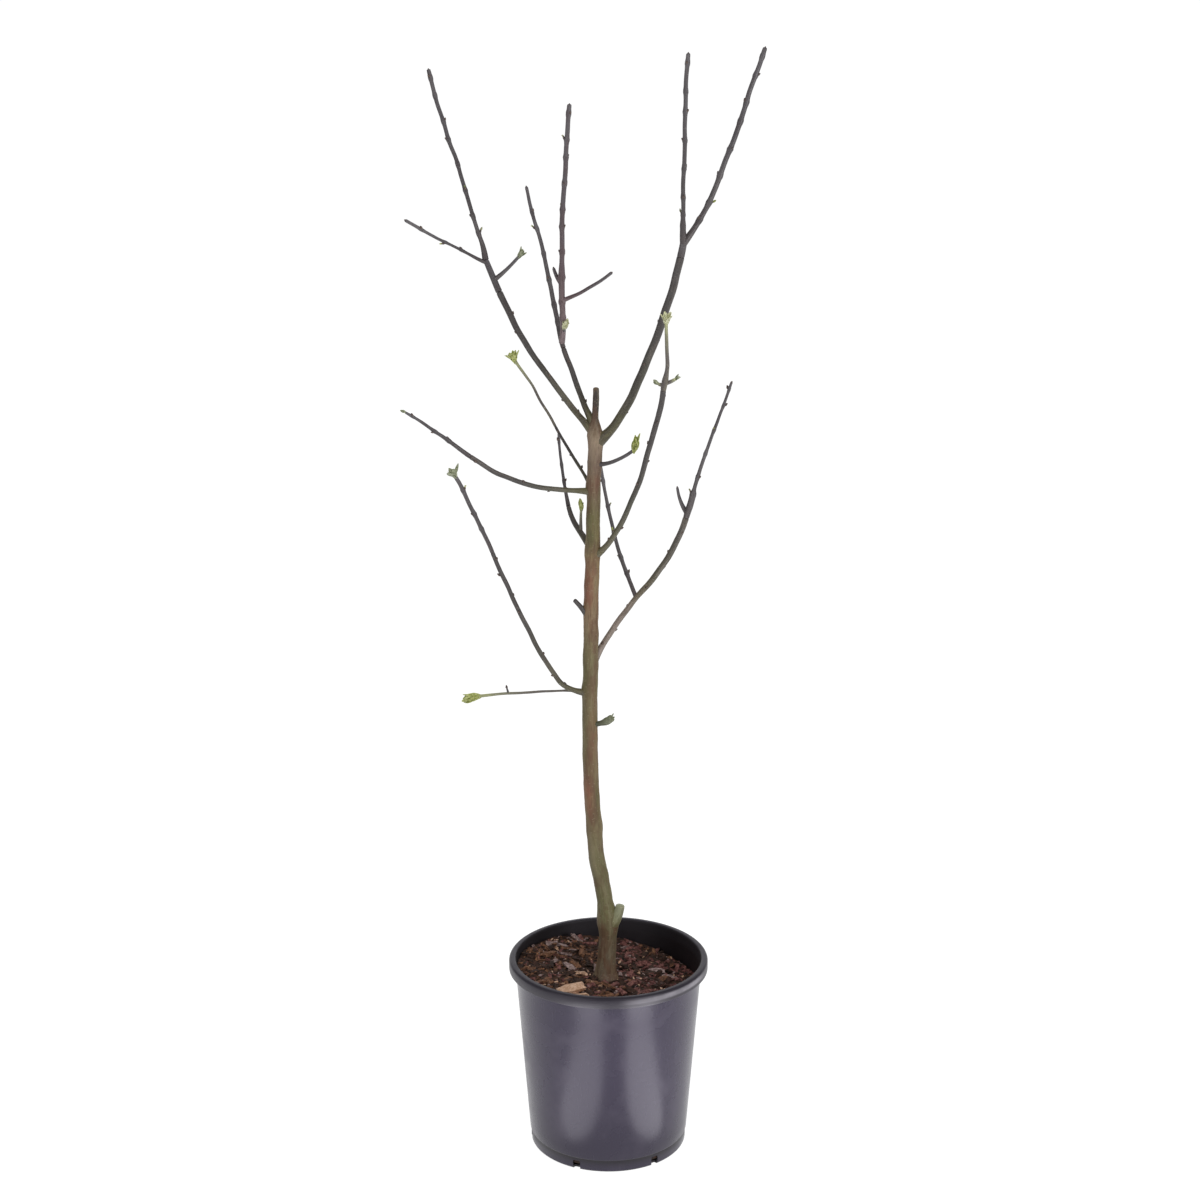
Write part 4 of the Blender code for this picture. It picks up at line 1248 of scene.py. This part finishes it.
@dataclass
class NurseryPot:
    """A tapered moulded pot with a turned-down rim and drain slots round its foot."""

    height: float = 230 * MM
    rim_radius: float = 115.5 * MM
    rim_drop: float = 13 * MM
    rim_round: float = 3.5 * MM
    lip: float = 1.6 * MM
    top_radius: float = 109 * MM
    foot_radius: float = 91 * MM
    wall: float = 1.8 * MM
    floor: float = 2.4 * MM
    band: float = 16 * MM
    inset: float = 1.3 * MM
    foot_round: float = 3 * MM
    sides: int = 128
    slots: int = 6
    slot_turn: float = 6
    slot_size: Colour = (10 * MM, 9 * MM, 12 * MM)
    holes: int = 5
    hole_radius: float = 5.5 * MM
    hole_circle: float = 48 * MM

    def radius_at(self, height: float) -> float:
        """The wall's outer radius at a height."""
        return self.foot_radius + (self.top_radius - self.foot_radius) * height / self.height

    def arc(
        self, centre: tuple[float, float], radius: float, start: float, end: float, steps: int
    ) -> list[tuple[float, float]]:
        """Points on a round of the profile, from one angle to another in degrees."""
        angles = [math.radians(start + (end - start) * i / steps) for i in range(steps + 1)]
        return [(centre[0] + radius * math.cos(a), centre[1] + radius * math.sin(a)) for a in angles]

    def profile(self) -> list[tuple[float, float]]:
        """The (radius, height) outline from the middle of the foot, up the outside and in."""
        foot = self.radius_at(self.band) - self.inset
        edge = (self.rim_radius - self.rim_round, self.height - self.rim_round)
        hem = self.height - self.rim_drop
        soft = 0.5 * MM
        under = self.rim_radius - self.lip
        inner = self.radius_at(self.height) - self.wall
        return [
            (foot - self.foot_round - 12 * MM, 0),
            *self.arc((foot - self.foot_round, self.foot_round), self.foot_round, -90, 0, 5),
            (foot, self.band - self.inset - soft),
            (foot + soft * 0.4, self.band - self.inset),
            (self.radius_at(self.band) - soft * 0.4, self.band - soft * 0.3),
            (self.radius_at(self.band), self.band + soft),
            *[(self.radius_at(hem * k / 8), hem * k / 8) for k in range(1, 8)],
            (self.radius_at(hem) - soft * 0.2, hem - soft),
            (self.radius_at(hem), hem),
            (self.radius_at(self.height), self.height - self.rim_round - soft),
            (self.radius_at(self.height) + soft, self.height - self.rim_round),
            (under - soft, self.height - self.rim_round),
            (under, self.height - self.rim_round - soft),
            (under, hem + soft),
            (under + soft, hem),
            (self.rim_radius - soft, hem),
            (self.rim_radius, hem + soft),
            *self.arc(edge, self.rim_round, 0, 90, 6),
            (inner + 2.6 * MM, self.height),
            *self.arc((inner + 2.6 * MM, self.height - 2.4 * MM), 2.4 * MM, 100, 180, 5),
            (inner, self.height - 6 * MM),
            (self.radius_at(self.height * 0.5) - self.wall, self.height * 0.5),
            (self.radius_at(self.band) - self.wall, self.band + self.inset),
            (foot - self.wall, self.floor + self.foot_round),
            (foot - self.foot_round - self.wall, self.floor),
            (foot * 0.5, self.floor),
        ]

    def cutters(self) -> list[bpy.types.Object]:
        """The drain slots through the foot's corner and the round holes in the floor."""
        made = []
        reach, width, height = self.slot_size
        for count in range(self.slots):
            turn = math.radians(self.slot_turn + 360 * count / self.slots)
            deselect_all()
            bpy.ops.mesh.primitive_cube_add(size=1, scale=(reach, width, height))
            slot = settle(bpy.context.object)
            finish_with(slot, "BEVEL", width=2 * MM, segments=4)
            outer = self.foot_radius + 4 * MM - reach / 2
            slot.data.transform(
                Matrix.Rotation(turn, 4, "Z") @ Matrix.Translation((outer, 0, height / 2 - 1 * MM))
            )
            made.append(slot)
        for count in range(self.holes):
            turn = math.radians(90 + 360 * count / self.holes)
            deselect_all()
            bpy.ops.mesh.primitive_cylinder_add(
                vertices=32, radius=self.hole_radius, depth=4 * self.floor,
                location=(math.cos(turn) * self.hole_circle, math.sin(turn) * self.hole_circle, 0),
            )
            made.append(settle(bpy.context.object))
        return made

    def build(self) -> None:
        """Sweeps the outline and cuts the drains."""
        up = Vector((0, 0, 1))
        rings = [Ring(Vector((0, 0, height)), up, radius) for radius, height in self.profile()]
        pot = sweep("nursery_pot", rings, self.sides)
        drill = join(self.cutters(), "drains")
        finish_with(pot, "BOOLEAN", operation="DIFFERENCE", object=drill, use_self=True)
        remove(drill)
        dress(pot, PotFinish().make(), ["pot"])


@dataclass
class Compost:
    """The bark compost: an uneven surface strewn with chips and crumbs."""

    pot: NurseryPot
    top: float = 203 * MM
    lift: float = 3 * MM
    edge_lift: float = 4 * MM
    lean: float = 14 * MM
    sides: int = 144
    surface_rings: int = 46
    chips: int = 620
    chip_models: int = 6
    crumbs: int = 1900
    flakes: tuple[tuple[Chip, float, float, float, float], ...] = (
        (Chip.PALE, -47 * MM, -60 * MM, 38 * MM, 12), (Chip.PALE, -36 * MM, -71 * MM, 26 * MM, -16),
        (Chip.PALE, -35 * MM, -6 * MM, 20 * MM, -28), (Chip.PALE, -28 * MM, -22 * MM, 19 * MM, -14),
        (Chip.GREY, -46 * MM, 8 * MM, 17 * MM, -50), (Chip.GREY, 57 * MM, 22 * MM, 20 * MM, 8),
        (Chip.GREY, 72 * MM, 10 * MM, 17 * MM, -4), (Chip.GREY, 62 * MM, -8 * MM, 14 * MM, 12),
        (Chip.GREY, -36 * MM, 84 * MM, 20 * MM, 20), (Chip.GREY, -56 * MM, 62 * MM, 15 * MM, -10),
        (Chip.RED, 22 * MM, -28 * MM, 22 * MM, 35), (Chip.RED, 36 * MM, -44 * MM, 20 * MM, -30),
        (Chip.RED, 24 * MM, -58 * MM, 18 * MM, 10), (Chip.BROWN, -72 * MM, 30 * MM, 24 * MM, 60),
        (Chip.BROWN, 2 * MM, -34 * MM, 20 * MM, -8),
    )

    def edge(self) -> float:
        """The surface's radius, just inside the wall."""
        return self.pot.radius_at(self.top) - self.pot.wall - 0.6 * MM

    def surface(self, x: float, y: float) -> float:
        """The height of the surface at a place, lumpy and a little heaped round the stem."""
        share = math.hypot(x, y) / self.edge()
        heap = along_knots(((0, 0), (0.2, 0), (0.5, self.lift), (1, self.edge_lift)), share)
        heap -= self.lean * x / self.edge() * min(1, max(0, share - 0.15) * 4)
        lumps = noise.noise(Vector((x * 45, y * 45, 3))) * 3.4 * MM
        grit = noise.noise(Vector((x * 190, y * 190, 7))) * 1.1 * MM
        return self.top + heap + (lumps + grit) * min(1, share * 4)

    def make_body(self) -> None:
        """Models the filling from the pot's floor to its surface."""
        up, clear = Vector((0, 0, 1)), 0.6 * MM
        wall = self.pot.wall + clear
        outline = [
            (self.pot.foot_radius * 0.5, self.pot.floor + 0.3 * MM),
            (self.pot.foot_radius - 9 * MM, self.pot.floor + 0.3 * MM),
            (self.pot.radius_at(self.pot.band) - self.pot.inset - wall, 6.5 * MM),
            (self.pot.radius_at(self.pot.band) - wall, self.pot.band + 3 * MM),
            (self.pot.radius_at(self.top - self.lean - 2 * MM) - wall, self.top - self.lean - 2 * MM),
        ]
        outline += [
            (self.edge() * (1 - k / self.surface_rings) + 1 * MM * k / self.surface_rings, self.top)
            for k in range(self.surface_rings + 1)
        ]
        rings = [Ring(Vector((0, 0, height)), up, radius) for radius, height in outline]
        body = sweep("compost_body", rings, self.sides)
        for point in body.data.vertices:
            if point.co.z > self.top - 0.5 * MM:
                point.co.z = self.surface(point.co.x, point.co.y)
                reach = (self.pot.radius_at(point.co.z) - wall) / self.edge()
                point.co.xy *= reach
        finish = CrumbFinish("compost", from_screen(32, 19, 12), from_screen(72, 46, 32), 170)
        dress(body, finish.make(), ["compost"])

    def model_chip(self, seed: int) -> bpy.types.Object:
        """One splintered chip about a unit long."""
        deselect_all()
        bpy.ops.mesh.primitive_cube_add(size=1, scale=(1, 0.5, 0.22))
        chip = settle(bpy.context.object)
        edit(chip)
        bpy.ops.mesh.subdivide(number_cuts=1)
        bpy.ops.transform.vertex_random(offset=0.13, uniform=0.2, seed=seed)
        deselect_all()
        return chip

    def scatter(self) -> None:
        """Strews the chips over the surface, dark ones most, and joins them by their wood."""
        models = [self.model_chip(seed) for seed in range(self.chip_models)]
        chance = Random(SEED + 5)
        woods: dict[Chip, list[bpy.types.Object]] = {wood: [] for wood in Chip}
        reach = self.edge() - 5 * MM
        for count in range(self.chips + self.crumbs):
            small = count >= self.chips
            far = math.sqrt(chance.random()) * (reach + (3 * MM if small else 0))
            turn = chance.uniform(0, 2 * math.pi)
            x, y = far * math.cos(turn), far * math.sin(turn)
            if math.hypot(x - TRUNK_FOOT.x, y) < 15 * MM:
                continue
            size = chance.uniform(2.4, 6) * MM if small else chance.triangular(5, 17, 7) * MM
            reds = 0.12 + 0.34 * (x > 0)
            shares = (0.36, reds, 0.44 - reds, 0.13, 0.07) if small else (0.42, reds, 0.55 - reds, 0.03, 0)
            wood = chance.choices(list(Chip), shares)[0]
            turn = chance.uniform(0, 2 * math.pi)
            woods[wood].append(self.lay(chance.choice(models), Vector((x, y)), size, turn, chance))
        for wood, x, y, size, turn in self.flakes:
            flake = self.lay(models[2], Vector((x, y)), size, math.radians(turn), chance)
            woods[wood].append(flake)
        remove(*models)
        for wood, pieces in woods.items():
            dress(join(pieces, f"{wood.name.lower()}_chips"), wood.value.make())

    def lay(
        self, model: bpy.types.Object, spot: Vector, size: float, turn: float, chance: Random
    ) -> bpy.types.Object:
        """Lays one chip on the surface.

        Args:
            model: the chip to copy.
            spot: its place on the level.
            size: its length.
            turn: its turn on the level, in radians.
            chance: the dice for its tilt and its shape.

        Returns:
            The chip.
        """
        tilt = Matrix.Rotation(chance.gauss(0, 0.34), 4, "X")
        lean = Matrix.Rotation(chance.gauss(0, 0.26), 4, "Y")
        place = Vector((*spot, self.surface(*spot) + size * chance.uniform(0.02, 0.16)))
        girth = [size * chance.uniform(0.55, 1) for _ in range(2)]
        shape = Matrix.Rotation(turn, 4, "Z") @ Matrix.Diagonal((size, *girth, 1))
        return copied(model, "chip", Matrix.Translation(place) @ tilt @ lean @ shape)

    def build(self) -> None:
        """Builds the filling and what lies on it."""
        self.make_body()
        self.scatter()


# The studio


@dataclass
class Studio:
    """White seamless ground, soft boxes, two low panels and a camera at the photo's place."""

    camera_place: Vector = field(default_factory=lambda: Vector((-9.8 * MM, -2.5, 1.365)))
    camera_drop: float = 15.75
    lens: float = 70
    box_turn: float = 42
    box_distance: float = 2.1
    box_size: tuple[float, float] = (1.0, 1.7)
    box_height: float = 1.15
    left_watts: float = 10
    right_watts: float = 22
    top_watts: float = 20
    back_turn: float = 138
    back_watts: float = 9
    panels: tuple[tuple[str, Colour, tuple[float, float], float, float], ...] = (
        ("left", (-0.120, -0.262, 1 * MM), (0.18, 0.33), 0, 0.36),
        ("right", (0.180, -0.240, 1 * MM), (0.185, 0.34), 22, 0.51),
    )
    panel_spread: float = 136
    world: float = 0.3
    backdrop: float = 1.0

    def make_ground(self) -> None:
        """Models the ground: a floor that curves up into a wall behind the tree."""
        deselect_all()
        bpy.ops.mesh.primitive_plane_add(size=9, location=(0, 1.5, -0.2 * MM))
        ground = settle(bpy.context.object)
        ground.name = ground.data.name = "white_ground"
        edit(ground, lambda co: co.y > 5.9)
        bpy.ops.mesh.select_mode(type="EDGE")
        bpy.ops.mesh.extrude_region_move(TRANSFORM_OT_translate={"value": (0, 0, 6)})
        deselect_all()
        finish_with(ground, "BEVEL", width=1.5, segments=16)
        ground.data.materials.append(StageFinish().make())
        bpy.ops.object.shade_smooth()
        ground.visible_diffuse = False

    def add_light(
        self, name: str, place: Vector, size: tuple[float, float], watts: float
    ) -> bpy.types.Object:
        """Hangs one soft box that faces the middle of the tree.

        Args:
            name: its name.
            place: where it hangs.
            size: its width and height.
            watts: its power.

        Returns:
            The light.
        """
        light = bpy.data.lights.new(name, "AREA")
        light.shape = "RECTANGLE"
        light.size, light.size_y = size
        light.energy = watts
        lamp = bpy.data.objects.new(name, light)
        lamp.location = place
        lamp.rotation_euler = (Vector((0, 0, 0.55)) - place).to_track_quat("-Z", "Y").to_euler()
        lamp.visible_camera = False
        bpy.context.scene.collection.objects.link(lamp)
        return lamp

    def add_box(self, name: str, turn: float, watts: float) -> bpy.types.Object:
        """Sets a tall soft box at an angle round the tree, counted from the camera."""
        angle = math.radians(turn)
        place = Vector((math.sin(angle), -math.cos(angle), 0)) * self.box_distance
        place.z = self.box_height
        return self.add_light(f"soft_box_{name}", place, self.box_size, watts)

    def add_panels(self) -> None:
        """Lays the oval panels whose light the pot's wall mirrors."""
        for name, place, size, turn, watts in self.panels:
            panel = self.add_light(f"low_panel_{name}", Vector(place), size, watts)
            panel.data.shape = "ELLIPSE"
            panel.data.spread = math.radians(self.panel_spread)
            panel.rotation_euler = (math.pi, 0, math.radians(turn))

    def make_world(self) -> None:
        """Makes a dim white room that the camera sees as plain white."""
        world = bpy.data.worlds.new("white_room")
        world.use_nodes = True
        nodes, links = world.node_tree.nodes, world.node_tree.links
        seen = nodes.new("ShaderNodeMapRange")
        seen.inputs["To Min"].default_value = self.world
        seen.inputs["To Max"].default_value = self.backdrop
        links.new(nodes.new("ShaderNodeLightPath").outputs["Is Camera Ray"], seen.inputs["Value"])
        links.new(seen.outputs["Result"], nodes["Background"].inputs["Strength"])
        nodes["Background"].inputs["Color"].default_value = (1, 1, 1, 1)
        bpy.context.scene.world = world

    def build(self) -> None:
        """Builds the ground, the lights and the camera."""
        self.make_ground()
        self.add_box("left", -self.box_turn, self.left_watts)
        self.add_box("right", self.box_turn, self.right_watts)
        for name, side in (("left", -1), ("right", 1)):
            rear = self.add_box(f"rear_{name}", self.back_turn * side, self.back_watts)
            rear.visible_glossy = False
        overhead = self.add_light("overhead", Vector((0, -0.4, 2.9)), (2.2, 2.2), self.top_watts)
        overhead.visible_glossy = False
        self.add_panels()
        self.make_world()
        scene = bpy.context.scene
        scene.view_settings.view_transform = "Standard"
        camera = bpy.data.objects.new("camera", bpy.data.cameras.new("camera"))
        camera.location = self.camera_place
        camera.rotation_euler = (math.radians(90 - self.camera_drop), 0, 0)
        camera.data.lens = self.lens
        scene.collection.objects.link(camera)
        scene.camera = camera


def main() -> None:
    """Loads the solids and dresses them, piece by piece."""
    logging.basicConfig(level=logging.INFO, format="%(name)s %(message)s")
    for thing in list(bpy.data.objects):
        bpy.data.objects.remove(thing)
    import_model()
    pot = NurseryPot()
    pot.build()
    Compost(pot).build()
    AlmondTree().build()
    Studio().build()


if __name__ == "__main__":
    main()
